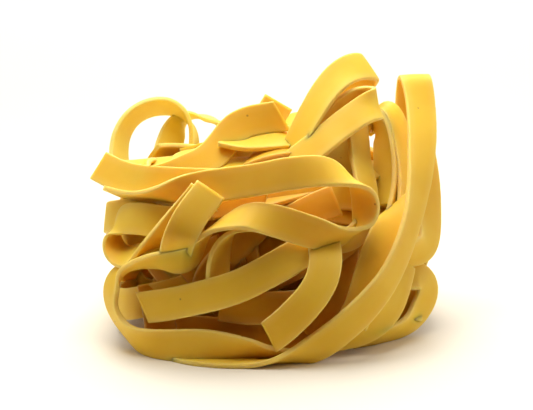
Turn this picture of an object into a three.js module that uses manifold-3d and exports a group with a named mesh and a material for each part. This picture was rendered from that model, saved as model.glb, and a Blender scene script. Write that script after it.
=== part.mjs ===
// A nest of dry tagliatelle: one solid, a heap of flat egg ribbons fused to a smaller core.
// Millimetres, +Z up, origin under the middle of the nest on the surface that it rests on.
import * as THREE from "three";
import { mergeVertices } from "three/addons/utils/BufferGeometryUtils.js";
import Module from "manifold-3d";

// Driving dimensions
const RIBBON_WIDTH = 6.2;
const RIBBON_THICKNESS = 1.15;
const FRONT_SPACING = 4.4; // between the cross-sections of a tightly bent ribbon
const BACK_SPACING = 6.5;
const FEWEST_SECTIONS = 4;
const LENGTH_STEPS = 40; // for each point of a ribbon, when its length is measured
const SURFACE_TOLERANCE = 0.01;
const SMALLEST_GAP = 0.004; // between two corners of the joined surface
const SEPARATION_PASSES = 6;
const CORE_RADIUS = [22.5, 21, 17.5]; // across, front to back, up
const CORE_CENTRE = [0, 0.5, 16.5];
const CORE_LUMP = 1.6; // height of the uneven swells on the core
const CORE_WAVES = [5, 2, 4, -3]; // swells across and upwards, then front to back and upwards
const CORE_COLUMNS = 22;
const CORE_ROWS = 14;

// The ribbons that show from the front are laid out on a plane that leans back, as seen by an
// eye in front of it. What lies deeper is laid out wider, so that it keeps its place in that view.
const LEAN = THREE.MathUtils.degToRad(13);
const EYE_DISTANCE = 430;
const EYE_HEIGHT = 33.4; // height on the plane that the eye looks at
const PLANE_FOOT = [-0.2, -5.6, -9.2]; // foot of the plane in the part's frame

// The ribbons at the back lie on a rounded shell.
const SHELL_RADIUS = [31, 29.5]; // across, front to back
const SHELL_CENTRE = [0, 1.5];
const SHELL_MIDDLE = 16; // height at which the shell is widest
const SHELL_HEIGHT = 25; // from there to its top or bottom
const SHELL_NARROWEST = 0.3; // share of the squared radius left at its top and bottom

// Each row is a point of a ribbon: across, up and depth (less is nearer), then the direction
// of its width as across, up and depth.
const STRANDS = {
  belt: [
    [-30.6, 35.9, -10.5, 0.1, 0.15, 0.98],
    [-28.2, 35, -12.6, 0.05, 0.15, 1],
    [-25, 34.6, -15.8, 0, 0.2, 0.97],
    [-21.4, 34.9, -19.8, 0, 0.3, 0.9],
    [-18.2, 35.6, -23, 0.1, 0.55, 0.8],
    [-13, 36.8, -26, 0.1, 0.8, 0.6],
    [-2.4, 38.4, -29, -0.15, 1, 0.2],
    [4.6, 39.7, -29.5, -0.12, 1, 0.15],
    [11.6, 40.2, -27.8, -0.1, 0.9, 0.4],
    [15.8, 39.2, -25.4, -0.42, 0.62, 0.66],
    [18.6, 37.2, -23.5, -0.68, 0.35, 0.64],
    [19.8, 34.4, -22.2, -0.8, 0.08, 0.6],
    [19.8, 31.8, -21.7, -0.8, -0.05, 0.6],
    [19.2, 29.5, -21.8, -0.62, -0.2, 0.76],
    [18, 27.9, -22.4, -0.4, -0.34, 0.85],
    [16, 27, -23.8, -0.15, -0.4, 0.9],
    [13.1, 26.8, -25.6, -0.15, -0.68, 0.7],
    [10, 27.7, -27.4, -0.2, -0.95, 0.25],
    [6.6, 28.7, -28.8, -0.22, -0.97, 0],
    [3, 29.9, -29.8, -0.2, -1, -0.15],
    [-0.8, 30.8, -30.5, -0.1, -0.92, -0.4],
    [-4, 31.2, -30.7, 0, -0.7, -0.7],
    [-7, 30.5, -30, 0.05, -0.45, -0.9],
    [-9.8, 29.4, -28.8, 0.1, -0.1, -1],
    [-12.4, 27.4, -27.4, 0.1, 0.25, -0.96],
    [-14.3, 24.8, -26.6, 0.1, 0.65, -0.75],
    [-16.2, 22.6, -26.2, 0.05, 0.9, -0.45],
    [-18.6, 22, -25.6, 0, 0.65, -0.75],
    [-21.4, 22.1, -24.6, 0, 0.4, -0.9],
    [-24, 21.7, -23.2, 0.05, 0.3, -0.95],
    [-26.4, 21, -21.4, 0.2, 0.2, -0.95],
    [-29, 19.8, -19, 0.4, 0.05, -0.9],
    [-30.7, 17.6, -17.4, 0.5, 0, -0.86],
    [-31.2, 14.8, -16.6, 0.42, 0.05, -0.88],
    [-30.3, 11.6, -16.8, 0.15, 0.35, -0.92],
    [-28.3, 8.8, -17.8, -0.1, 0.55, -0.83],
    [-26.2, 6.6, -20.4, -0.15, 0.75, -0.65],
    [-23.2, 5.6, -22.8, -0.05, 0.88, -0.45],
    [-18.4, 5.3, -24.8, 0, 0.95, -0.25],
    [-13.4, 5.4, -25.8, 0, 0.97, -0.2],
    [-8.4, 5, -26.2, 0.1, 0.85, -0.5],
    [-5.4, 4.6, -26.2, 0.1, 0.72, -0.68],
    [-2.4, 4.1, -25.2, 0.1, 0.55, -0.82],
    [1, 3.4, -24.6, 0.1, 0.4, -0.9],
    [5.6, 3.2, -22.8, 0, 0.35, -0.93],
  ],
  left_end: [
    [-33.4, 41.2, -7.5, 0.48, 0.86, 0.11],
    [-30.9, 39.9, -10, 0.36, 0.9, 0.2],
    [-27, 38.6, -13.5, 0.25, 0.95, 0.25],
    [-22.2, 38.2, -17.5, 0.1, 1, 0.25],
    [-17, 38, -19.8, 0.05, 1, 0.25],
    [-12, 37.6, -20.4, 0, 1, 0.3],
    [-6, 37.4, -19.5, 0, 0.9, 0.4],
    [0, 37.8, -16.5, 0, 0.8, 0.6],
  ],
  flap: [
    [-11.2, 36.6, -29, 0.77, -0.64, 0],
    [-13, 34, -29.6, 0.84, -0.54, 0],
    [-14.8, 31.7, -29.6, 0.84, -0.54, 0],
    [-16.1, 29.4, -29.4, 0.9, -0.44, 0],
    [-17.2, 27.2, -28.8, 0.96, -0.25, 0],
    [-17.9, 25, -27.2, 1, -0.1, 0],
    [-18.4, 22.4, -24.2, 1, 0, 0.1],
  ],
  left_loop: [
    [-12.5, 30, -19.5, 0.1, 1, 0.1],
    [-18.8, 29.8, -20.5, 0.1, 1, 0.1],
    [-22.6, 30.2, -19.8, 0.05, 1, 0.15],
    [-26, 30.7, -17.6, 0, 1, 0.25],
    [-28.8, 30.4, -14.8, 0, 0.95, 0.35],
    [-30.4, 28.8, -13.2, 0.3, 0.55, 0.75],
    [-30.7, 26.4, -13, 0.35, 0.25, 0.86],
    [-29.6, 24, -14.4, 0.25, 0.55, 0.75],
    [-27.2, 23.1, -17.2, -0.05, 0.6, 0.75],
    [-24.6, 24.3, -20.2, 0.15, 0.1, 0.95],
    [-21.8, 26, -22.4, 0.4, -0.3, 0.85],
    [-19.6, 27.8, -24.2, 0.6, -0.48, 0.65],
    [-17.2, 30.2, -26, 0.74, -0.55, 0.35],
    [-14.6, 33, -27.4, 0.8, -0.58, 0.1],
    [-12.4, 35.8, -27.8, 0.8, -0.6, 0],
  ],
  arch: [
    [-8.8, 14, -23.6, 0.65, 0, 0.76],
    [-9.7, 18.2, -25.2, 0.65, 0, 0.76],
    [-9.7, 21.6, -25.8, 0.62, 0, 0.8],
    [-9, 24.8, -26, 0.5, 0.05, 0.86],
    [-7.6, 27.2, -26, 0.35, 0.12, 0.92],
    [-5.4, 28.8, -25.8, 0.12, 0.22, 0.96],
    [-2.4, 29.4, -25, 0, 0.3, 0.95],
    [2.6, 29.2, -22, 0, 0.5, 0.86],
    [7, 27.4, -17, 0, 0.7, 0.7],
  ],
  diagonal: [
    [-24.6, 12.9, -21, -0.2, 0.97, 0.1],
    [-20.4, 13.4, -23.8, -0.2, 0.97, 0.1],
    [-15.4, 14.4, -26.4, -0.2, 0.97, 0.1],
    [-10.4, 15.6, -28.4, -0.25, 0.96, 0.1],
    [-5.4, 17.2, -29.4, -0.4, 0.9, 0.1],
    [-0.8, 19.5, -29.4, -0.45, 0.9, 0.1],
    [3.8, 22, -28.2, -0.48, 0.88, 0.1],
    [7.2, 24.1, -26, -0.5, 0.85, 0.15],
    [10.4, 26.4, -22.4, -0.5, 0.8, 0.3],
    [13, 29, -18, -0.4, 0.8, 0.4],
  ],
  hanging: [
    [10.8, 28, -21, 0.98, 0.1, 0.15],
    [11.6, 25, -25, 1, 0, 0.1],
    [11.8, 22, -27.6, 1, 0, 0.05],
    [11.2, 18.8, -29, 0.97, -0.2, 0],
    [9.2, 15.2, -30, 0.82, -0.57, 0],
    [6.2, 11.8, -30.4, 0.75, -0.65, 0],
    [3.2, 9, -30, 0.68, -0.73, 0],
    [0.6, 7, -28.8, 0.66, -0.75, 0],
  ],
  right_curl: [
    [17.8, 50.4, -4.5, 0.55, 0.1, 0.83],
    [18.3, 46.6, -7.6, 0.55, 0.05, 0.83],
    [18.7, 43, -10.4, 0.55, 0, 0.83],
    [19.4, 39.8, -12.6, 0.6, 0, 0.8],
    [20.1, 36.4, -14.6, 0.62, 0, 0.78],
    [20.2, 33.2, -16.2, 0.6, -0.15, 0.78],
    [19.6, 29.6, -17.6, 0.5, -0.4, 0.75],
    [17.6, 27.2, -19.4, 0.35, -0.5, 0.78],
    [14.8, 26.1, -21.2, 0.2, -0.58, 0.78],
    [11.6, 26.2, -22.6, 0, -0.6, 0.8],
    [7.6, 26.6, -23.2, 0, -0.6, 0.8],
  ],
  tall_loop: [
    [3.4, 40.6, -11.4, -0.6, 0.3, 0.72],
    [5.6, 45, -11.6, -0.6, 0.3, 0.72],
    [7.5, 49, -11.4, -0.6, 0.35, 0.7],
    [9.6, 52.8, -10.6, -0.6, 0.42, 0.68],
    [11.7, 56.1, -9.4, -0.6, 0.5, 0.62],
    [14, 58.8, -7.8, -0.54, 0.62, 0.57],
    [16.2, 60.4, -5.8, -0.45, 0.76, 0.46],
    [18.2, 61.1, -3.4, -0.48, 0.82, 0.3],
    [19.9, 61.1, -0.4, -0.55, 0.82, 0.12],
    [20.6, 60.7, 2.8, -0.57, 0.82, 0],
    [19.6, 59, 6.2, -0.5, 0.86, 0],
    [16, 55, 8.4, -0.2, 0.96, 0],
    [10, 49, 7, 0.2, 0.95, 0.1],
  ],
  second_loop: [
    [5.6, 41.4, -9.6, -0.5, 0.4, -0.75],
    [8, 44.8, -9.4, -0.48, 0.45, -0.75],
    [10.8, 48.2, -8.8, -0.45, 0.5, -0.74],
    [13.8, 51.4, -7.8, -0.42, 0.52, -0.74],
    [16.5, 53.4, -6.8, -0.38, 0.62, -0.68],
    [19, 54.3, -6.2, -0.3, 0.8, -0.5],
    [21.6, 54.1, -7, -0.2, 0.93, -0.25],
    [22.2, 53.6, -8.9, -0.12, 0.95, 0.05],
    [21, 53.1, -10.9, -0.28, 0.82, 0.45],
    [19.1, 52.1, -12, -0.42, 0.7, 0.56],
    [17.3, 50.9, -12.8, -0.46, 0.72, 0.5],
    [15.4, 49.6, -13.4, -0.5, 0.68, 0.54],
    [13.3, 48, -14, -0.5, 0.66, 0.56],
    [11.2, 46.3, -14.6, -0.5, 0.65, 0.57],
    [9, 44.6, -15, -0.5, 0.65, 0.57],
    [6.8, 42.9, -15.4, -0.5, 0.65, 0.57],
    [4.4, 41, -15.4, -0.5, 0.65, 0.57],
  ],
  right_tower: [
    [21, 30, 8, 0.9, 0.2, 0.3],
    [25.6, 34.6, 9, 0.95, 0.1, 0.3],
    [28, 40, 9, 0.95, 0, 0.3],
    [28.2, 46, 9.4, 0.95, 0, 0.3],
    [28.6, 52, 8.8, 0.95, 0, 0.25],
    [28.9, 56.6, 7.4, 0.95, 0, 0.2],
    [29.4, 59.2, 4.4, 0.97, 0.05, 0.1],
    [30, 58.4, 1.2, 0.97, 0.05, 0.15],
    [30.6, 55.4, -1, 0.93, 0.03, 0.3],
    [31, 51.4, -4, 0.88, 0, 0.4],
    [31.1, 47.4, -7, 0.85, 0, 0.45],
    [30.9, 43.4, -9.8, 0.8, 0, 0.55],
    [30.6, 39.4, -12.4, 0.68, 0, 0.72],
    [30, 35.4, -14.8, 0.6, 0, 0.8],
    [29.4, 32, -16.8, 0.52, -0.05, 0.85],
    [28.6, 28.8, -18.4, 0.5, -0.15, 0.85],
    [27, 24, -20.8, 0.5, -0.25, 0.83],
    [24, 18, -23.8, 0.55, -0.35, 0.75],
    [19.8, 12.8, -25.8, 0.6, -0.55, 0.58],
    [15, 8.4, -27, 0.55, -0.65, 0.5],
    [10.2, 5, -27, 0.4, -0.75, 0.5],
    [5.6, 3, -26.9, 0.15, -0.5, 0.83],
    [0.6, 2, -26.5, 0, -0.05, 1],
    [-3.8, 1.9, -26, 0, 0.15, 0.98],
    [-9, 2.1, -25.7, 0, 0.22, 0.97],
    [-14, 2.6, -24, 0, 0.22, 0.97],
    [-18.6, 3.8, -20, 0.1, 0.22, 0.97],
    [-21.4, 5.4, -14.8, 0.3, 0.22, 0.93],
  ],
  right_side: [
    [30.4, 49, 7.6, 0.8, 0, 0.6],
    [31, 45, 5.4, 0.8, 0, 0.6],
    [31.8, 40.4, 2.4, 0.8, 0, 0.6],
    [32.4, 35.4, -0.4, 0.76, 0, 0.65],
    [32.6, 30.8, -2.8, 0.72, -0.05, 0.69],
    [32.5, 27.2, -5.2, 0.62, -0.25, 0.74],
    [31.6, 24.9, -8, 0.45, -0.55, 0.7],
    [29.3, 23.8, -11, 0.15, -0.65, 0.74],
    [26, 22.8, -13.6, 0, -0.75, 0.66],
    [21.6, 21.8, -15.8, 0, -0.85, 0.53],
  ],
  hook: [
    [24.5, 18.2, -12, 0, 0.8, 0.6],
    [28, 19.2, -9.8, 0.1, 0.8, 0.6],
    [30.8, 19.2, -8.2, 0.4, 0.65, 0.65],
    [32.2, 17.6, -7.4, 0.62, 0.3, 0.72],
    [32.2, 15.7, -7.4, 0.68, -0.1, 0.72],
    [31.3, 13.6, -8, 0.62, -0.3, 0.72],
    [30, 11.5, -9, 0.5, -0.42, 0.75],
    [28.2, 9.7, -10.6, 0.25, -0.45, 0.86],
    [25.6, 8.2, -13, 0, -0.4, 0.9],
    [22.5, 7.2, -15.6, 0, -0.45, 0.9],
    [18.5, 6.6, -18, 0, -0.5, 0.87],
  ],
  hook_inner: [
    [23.2, 11.6, -12.4, 0, 0.95, 0.3],
    [26, 12.9, -11, 0, 0.95, 0.3],
    [28.2, 13.4, -9.6, -0.05, 0.95, 0.3],
    [30.4, 13.2, -7.4, -0.1, 0.95, 0.3],
  ],
  lens: [
    [27.4, 22, -13, 0.7, -0.1, 0.7],
    [26.6, 17.8, -15.4, 0.65, -0.2, 0.72],
    [25.3, 13.6, -17.4, 0.6, -0.4, 0.7],
    [22.6, 10.2, -19.2, 0.5, -0.6, 0.62],
    [18.6, 8, -21, 0.35, -0.75, 0.56],
    [13.4, 6.8, -22.4, 0.2, -0.8, 0.57],
  ],
  small_arch: [
    [21, 48, 3.4, 0.3, 0.1, 0.93],
    [21.6, 51.4, 2.8, 0.2, 0.2, 0.95],
    [23, 53, 1.6, 0.1, 0.35, 0.93],
    [24.8, 52.4, 0.2, 0.3, 0.3, 0.9],
    [26.2, 49.8, -1.4, 0.55, 0.2, 0.8],
    [27.2, 45.6, -3.2, 0.55, 0.1, 0.83],
    [27.8, 41, -5.4, 0.5, 0, 0.87],
    [27.9, 36.4, -7.6, 0.45, 0, 0.9],
    [27.4, 32, -9.6, 0.4, 0, 0.92],
    [26, 27.6, -11.8, 0.4, -0.1, 0.9],
  ],
  small_arch_inner: [
    [20.4, 51.8, 2.6, 0.1, 0, 1],
    [21.9, 52.3, 1.6, 0.05, 0.1, 1],
    [23.3, 51.5, 0.6, 0.05, 0.1, 1],
    [24.3, 49.7, -0.6, 0.1, 0.05, 1],
    [25.1, 47.2, -2, 0.15, 0, 0.98],
    [25.8, 43.8, -4, 0.2, 0, 0.97],
    [26.2, 39.8, -6.2, 0.25, 0, 0.96],
    [26, 35.6, -8.4, 0.3, 0, 0.95],
    [25.2, 31.6, -10.6, 0.35, -0.1, 0.93],
    [23.6, 27.2, -12.8, 0.35, -0.2, 0.9],
  ],
  inner_post: [
    [24.6, 46.6, 3, 0.95, 0, 0.2],
    [25.4, 43.4, 1, 0.95, 0, 0.2],
    [25.5, 39.8, -2, 0.95, 0, 0.2],
    [25.3, 36, -5, 0.95, 0, 0.2],
    [24.6, 32, -7.6, 0.95, 0, 0.2],
    [22.8, 27.6, -9.8, 0.95, -0.1, 0.2],
  ],
  right_fall: [
    [25.4, 33.2, -12.6, 0.82, 0.55, 0.12],
    [25.2, 31.4, -14.8, 0.88, 0.15, 0.15],
    [24.2, 28.4, -17.4, 0.88, -0.35, 0.1],
    [22.5, 24.8, -19.6, 0.88, -0.45, 0.1],
    [21.2, 21, -21.2, 0.93, -0.35, 0.1],
    [20.1, 17.2, -22.2, 0.95, -0.3, 0.1],
    [18.9, 13.4, -22.6, 0.95, -0.3, 0.1],
    [17, 9.6, -22, 0.9, -0.4, 0.1],
  ],
  ring: [
    [-26.6, 36, 10, 0.45, -0.1, 0.88],
    [-28.8, 39.6, 12.8, 0.48, -0.1, 0.87],
    [-29.5, 43.6, 14.8, 0.5, -0.1, 0.86],
    [-28.8, 47.8, 16.2, 0.4, -0.25, 0.88],
    [-26.6, 51.1, 17, 0.25, -0.4, 0.88],
    [-23.2, 52.9, 17.6, 0.1, -0.5, 0.87],
    [-19.8, 53.1, 18.4, 0, -0.5, 0.87],
    [-16.7, 51.5, 19.2, 0.05, -0.35, 0.92],
    [-14.8, 48.6, 20, 0.15, -0.15, 0.98],
    [-14.4, 45.4, 20.4, 0.2, 0, 0.98],
    [-14.8, 42, 20, 0.2, 0, 0.98],
    [-16, 38, 18, 0.2, 0, 0.98],
  ],
  ring_far: [
    [-20.4, 37.6, 17, 0.8, 0.2, 0.5],
    [-20.2, 41.6, 18.6, 0.8, 0.15, 0.55],
    [-19.5, 45.2, 20.2, 0.8, 0, 0.58],
    [-18.1, 48.6, 22, 0.7, -0.15, 0.7],
    [-15.6, 50.8, 24, 0.25, -0.1, 0.95],
    [-12.6, 51, 25, 0, 0.2, 0.97],
    [-9.8, 49.8, 24.6, -0.15, 0.2, 0.97],
    [-7.8, 47.2, 22.6, -0.3, 0.1, 0.95],
    [-7.4, 43.8, 19, -0.4, 0, 0.9],
    [-8, 40, 15, -0.4, 0, 0.9],
  ],
  blob: [
    [3, 51.2, -7.6, -0.05, 1, 0],
    [-1, 50.6, -8.6, -0.05, 1, 0.1],
    [-4.2, 49.9, -9.2, -0.35, 0.92, 0.12],
    [-6.5, 48.5, -9.8, -0.66, 0.73, 0.15],
    [-8.3, 46.2, -10.6, -0.75, 0.64, 0.2],
    [-10.3, 43.8, -12, -0.68, 0.7, 0.25],
    [-12.6, 42, -13.4, -0.52, 0.82, 0.3],
    [-15.4, 40.7, -14.6, -0.45, 0.85, 0.3],
    [-19, 39.1, -15.2, -0.4, 0.86, 0.3],
    [-23.4, 37.8, -13.8, -0.25, 0.9, 0.3],
    [-27.6, 36.8, -10.2, -0.2, 0.9, 0.3],
  ],
  top_end: [
    [2.4, 54, -2.6, 0.86, -0.5, 0],
    [1, 51.6, -3, 0.86, -0.5, 0],
    [-0.6, 48.8, -4, 0.86, -0.5, 0.1],
    [-2.4, 45.6, -6, 0.86, -0.5, 0.1],
    [-4.6, 42, -9, 0.86, -0.5, 0.1],
  ],
  top_bump: [
    [-1.6, 43.6, 3, 0, 0.5, 0.86],
    [1, 47, 3, 0, 0.5, 0.86],
    [3.6, 49.4, 2.4, 0, 0.5, 0.86],
    [6.8, 50.2, 1, 0, 0.5, 0.86],
    [9.8, 49, -0.6, 0, 0.5, 0.86],
    [12, 46, -2, 0, 0.5, 0.86],
  ],
  bright_band: [
    [-8.8, 45.9, -10.2, 0, 0.16, 1],
    [-6.6, 45.8, -10.8, 0, 0.34, 0.94],
    [-4.2, 45.7, -11.2, 0, 0.44, 0.9],
    [-1.4, 45.9, -11.2, -0.03, 0.48, 0.88],
    [1.6, 46.3, -10.4, -0.08, 0.5, 0.86],
    [4.4, 46.8, -7.6, -0.15, 0.5, 0.85],
    [6.4, 47.4, -3.8, -0.2, 0.5, 0.84],
  ],
  under_band: [
    [-11, 33.6, -22.5, 0, 0.95, 0.3],
    [-6, 34.6, -23.8, -0.1, 0.95, 0.3],
    [-2.8, 35.2, -24.2, -0.1, 0.95, 0.3],
    [0.2, 35.6, -24.2, -0.12, 0.95, 0.3],
  ],
  eye_band: [
    [4.4, 29.8, -20.6, -0.45, 0.85, 0.25],
    [8.6, 32.1, -21.2, -0.42, 0.87, 0.25],
    [11.4, 33.4, -21, -0.35, 0.9, 0.25],
    [14, 34.3, -20.4, -0.25, 0.93, 0.25],
  ],
  brown_band: [
    [-9, 13.4, -22.5, 0.4, 0.9, 0.1],
    [-4.4, 12.8, -24.2, 0.1, 1, 0.1],
    [0.2, 12.8, -24.8, 0, 1, 0.1],
    [4.6, 13, -24, 0, 1, 0.1],
    [9, 13.6, -21.4, 0, 1, 0.1],
  ],
  lower_band: [
    [-14, 8, -19, -0.1, 1, 0.1],
    [-6.4, 7.4, -22.2, -0.1, 1, 0.1],
    [-0.4, 6.6, -23, -0.1, 1, 0.1],
    [6, 6.8, -22, 0.1, 1, 0.1],
    [12, 8.4, -19, 0.2, 1, 0.1],
  ],
  behind_hanging: [
    [15.4, 26, -14, 1, 0, 0.1],
    [15, 21, -17, 1, 0, 0.1],
    [13.8, 16, -20, 0.95, -0.2, 0.1],
    [11.6, 11.4, -22.4, 0.85, -0.5, 0.1],
    [8, 7.6, -23, 0.7, -0.7, 0.1],
  ],
  ring_shade: [
    [-22.6, 43.9, 13, 0, 0.36, -0.93],
    [-20, 44.2, 14.4, 0, 0.36, -0.93],
    [-16.6, 44.3, 14.8, 0, 0.34, -0.94],
    [-13, 43.9, 13.6, 0, 0.3, -0.95],
  ],
  pale_band: [
    [-29, 40.2, -1, 0, 0.45, 0.9],
    [-24, 41, 3, 0, 0.42, 0.9],
    [-18.4, 41.6, 5, 0, 0.42, 0.9],
    [-12, 42.2, 5, 0, 0.42, 0.9],
    [-6, 42.8, 3, 0, 0.45, 0.9],
  ],
  left_behind: [
    [-22, 30.4, -15, 0, 1, 0.1],
    [-26.4, 30.8, -12.4, 0, 1, 0.1],
    [-29.4, 31.4, -8.6, 0, 1, 0.1],
    [-30.8, 31.4, -3.6, 0, 1, 0.1],
    [-30.8, 30.8, 1.6, 0, 1, 0.1],
    [-29, 29.6, 7, 0, 1, 0.1],
  ],
  left_inner: [
    [-14.6, 23.8, -15.4, 0, 1, 0.1],
    [-20, 24.6, -15, 0, 1, 0.1],
    [-24.4, 25.2, -12.6, 0, 1, 0.1],
    [-27.8, 25.6, -8.6, 0, 1, 0.1],
    [-29.2, 25.4, -3, 0, 1, 0.1],
    [-28.2, 24.6, 3, 0, 1, 0.1],
    [-25.4, 23.8, 7.6, 0, 1, 0.1],
  ],
  lower_inner: [
    [-9, 18.4, -17.4, -0.25, 0.95, 0.1],
    [-14, 17.6, -17.4, -0.25, 0.95, 0.1],
    [-19, 16.2, -16.6, -0.15, 0.98, 0.1],
    [-24, 15, -14, -0.1, 1, 0.1],
    [-27.6, 14.4, -10.4, 0, 1, 0.1],
    [-29.6, 14.6, -5.4, 0, 1, 0.1],
    [-29, 15.6, 0.6, 0, 1, 0.1],
    [-26, 16.4, 6, 0, 1, 0.1],
  ],
  lower_strut: [
    [-22.8, 17.6, -14, 0.9, 0.3, 0.2],
    [-21.9, 14, -16.5, 0.95, 0.15, 0.2],
    [-21.4, 10.6, -18.4, 0.95, 0, 0.2],
    [-21, 7.2, -19.8, 0.95, 0, 0.2],
  ],
  hook_back: [
    [22, 16.8, -5, 0, 1, 0.1],
    [27, 17.2, -2, 0, 1, 0.1],
    [30.6, 16.8, 2, 0, 1, 0.1],
    [31.6, 16.2, 8, 0, 1, 0.1],
  ],
  inner_arch: [
    [18.8, 48.2, 3, 0.2, -0.5, 0.84],
    [20.6, 49.6, 1.6, 0.1, -0.5, 0.85],
    [22.2, 49.2, 0.2, -0.25, -0.42, 0.85],
    [23.3, 47, -1.4, -0.55, -0.2, 0.78],
    [23.8, 44, -3, -0.65, -0.05, 0.74],
    [24, 40.6, -4.8, -0.7, 0, 0.7],
    [23.8, 36.8, -6.8, -0.7, 0, 0.7],
    [23, 33, -9, -0.7, 0, 0.7],
  ],
  step_band: [
    [-3.4, 42.4, -12, 0, 0.3, 0.95],
    [-0.4, 43.4, -13.4, 0, 0.3, 0.95],
    [2.6, 44.1, -12.8, 0, 0.3, 0.95],
    [5, 44.6, -9.6, 0, 0.3, 0.95],
  ],
  eye_back: [
    [-5, 32.6, -18.6, -0.1, 0.95, 0.3],
    [1, 33.8, -19.4, -0.12, 0.95, 0.3],
    [7, 34.8, -18.8, -0.1, 0.95, 0.3],
    [12.6, 35.4, -16.8, -0.05, 0.95, 0.3],
    [17.6, 35.4, -13.6, 0, 0.95, 0.3],
  ],
  loop_back: [
    [12.4, 49.6, -4.4, 0.9, -0.4, 0],
    [13.2, 45.6, -6, 0.93, -0.3, 0],
    [13.9, 41.6, -7.6, 0.96, -0.2, 0],
    [14.4, 37.6, -9.4, 0.97, -0.1, 0],
    [14.6, 33.2, -11.4, 0.98, 0, 0],
  ],
};

// Ends cut askew: how far the ribbon's edge on the side of its width direction stands ahead of its
// other edge, in millimetres, at its start and at its end.
const ASKEW_CUTS = {
  diagonal: [-2.4, 0],
  hanging: [0, 1.4],
  blob: [2.6, 0],
  under_band: [0, 2.2],
  right_fall: [-5.4, 0],
};
const CUT_REACH = 7;

// Ribbons at the back and sides, each a part of a long loop round the shell. A row holds the
// loop's middle as a bearing in degrees (90 is straight back) and a height, its half length in
// degrees, its half height, where on the loop it starts and ends in turns, how far it stands off
// the shell, and the lean of its width.
const BACK_LOOPS = [
  [90, 9, 75, 4.5, 0.05, 0.62, 0, 0.2],
  [75, 15, 60, 6, 0.42, 1.02, 0.6, 0.35],
  [110, 21, 62, 6.5, -0.08, 0.55, 1.2, 0.25],
  [140, 12, 40, 7, 0.3, 0.98, 1.8, 0.3],
  [55, 26, 50, 5, 0.02, 0.7, 0.4, 0.4],
  [100, 29, 66, 4, 0.5, 1.08, 0.2, 0.5],
  [30, 14, 34, 8, 0.2, 0.86, 1.4, 0.3],
  [165, 22, 32, 6, 0.1, 0.76, 0.8, 0.35],
  [90, 4.5, 84, 1.5, 0.02, 0.5, 0.2, 0.7],
  [80, 22, 30, 9, 0.6, 1.3, 2.4, 0.2],
  [120, 20, 38, 5, 0.05, 0.6, 1.6, 0.4],
  [45, 6.5, 44, 4, 0.55, 1.1, 1.6, 0.4],
  [138, 6, 36, 3.6, 0.5, 1.05, 1.2, 0.4],
  [24, 27, 26, 6, 0.6, 1.05, 1.2, 0.4],
  [180, 26, 30, 4, 0.05, 0.55, 0.6, 0.5],
];
const LOOP_POINTS = 14;

// Ribbons coiled over the top and under the base. A row holds the centre of the coil, its radius,
// the height and bearing in degrees at its start and at its end, and the lean of its width, which
// is 1 where the ribbon lies flat.
const COILS = [
  [1, 2, 19, 27, -20, 33, 150, 0.75],
  [-3, 4, 13, 32, 60, 34, 300, 0.8],
  [-6, -2, 17, 30, 150, 28, 290, 0.7],
  [6, 6, 15, 31, -50, 30, 100, 0.7],
  [0, 1, 6.5, 34, 10, 35, 220, 0.85],
  [0, 0, 22.5, 0.5, -160, 0.5, 20, 1],
  [1.5, 0.5, 14.5, 0.5, 40, 0.5, 300, 1],
];
const COIL_POINTS = 12;

const wasm = await Module();
wasm.setup();

// A point of the leaning plane in the part's frame.
function placed([across, up, depth]) {
  const spread = 1 + depth / EYE_DISTANCE;
  const height = EYE_HEIGHT + (up - EYE_HEIGHT) * spread;
  return new THREE.Vector3(
    PLANE_FOOT[0] + across * spread,
    PLANE_FOOT[1] + height * Math.sin(LEAN) + depth * Math.cos(LEAN),
    PLANE_FOOT[2] + height * Math.cos(LEAN) - depth * Math.sin(LEAN),
  );
}

// A direction on the leaning plane in the part's frame.
function turned([across, up, depth]) {
  return new THREE.Vector3(
    across,
    up * Math.sin(LEAN) + depth * Math.cos(LEAN),
    up * Math.cos(LEAN) - depth * Math.sin(LEAN),
  );
}

// The centre points and width directions of a front ribbon.
function frontRibbon([name, rows]) {
  return {
    points: rows.map((row) => placed(row.slice(0, 3))),
    widths: rows.map((row) => turned(row.slice(3, 6))),
    cuts: ASKEW_CUTS[name],
  };
}

// The centre points and width directions of a ribbon on the shell.
function backRibbon([bearing, height, halfLength, halfHeight, start, end, standOff, lean]) {
  const points = [];
  const widths = [];
  for (let i = 0; i < LOOP_POINTS; i += 1) {
    const turn = start + ((end - start) * i) / (LOOP_POINTS - 1);
    const around = THREE.MathUtils.degToRad(bearing + halfLength * Math.cos(turn * 2 * Math.PI));
    const z = height + halfHeight * Math.sin(turn * 2 * Math.PI);
    const level = (z - SHELL_MIDDLE) / SHELL_HEIGHT;
    const narrowing = Math.sqrt(Math.max(1 - level * level, SHELL_NARROWEST));
    const out = standOff * Math.sin(turn * 2 * Math.PI) - standOff;
    const outward = new THREE.Vector3(Math.cos(around), Math.sin(around), 0);
    points.push(
      new THREE.Vector3(
        SHELL_CENTRE[0] + (SHELL_RADIUS[0] * narrowing + out) * outward.x,
        SHELL_CENTRE[1] + (SHELL_RADIUS[1] * narrowing + out) * outward.y,
        z,
      ),
    );
    const upright = new THREE.Vector3(0, 0, 1 - lean);
    widths.push(upright.addScaledVector(outward, -lean));
  }
  return { points, widths };
}

// The centre points and width directions of a ribbon coiled about an upright axis.
function coiledRibbon([x, y, radius, low, start, high, end, lean]) {
  const points = [];
  const widths = [];
  for (let i = 0; i < COIL_POINTS; i += 1) {
    const share = i / (COIL_POINTS - 1);
    const around = THREE.MathUtils.degToRad(THREE.MathUtils.lerp(start, end, share));
    const outward = new THREE.Vector3(Math.cos(around), Math.sin(around), 0);
    const centre = new THREE.Vector3(x, y, THREE.MathUtils.lerp(low, high, share));
    points.push(centre.addScaledVector(outward, radius));
    const upright = new THREE.Vector3(0, 0, 1 - lean);
    widths.push(upright.addScaledVector(outward, -lean));
  }
  return { points, widths };
}

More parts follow.
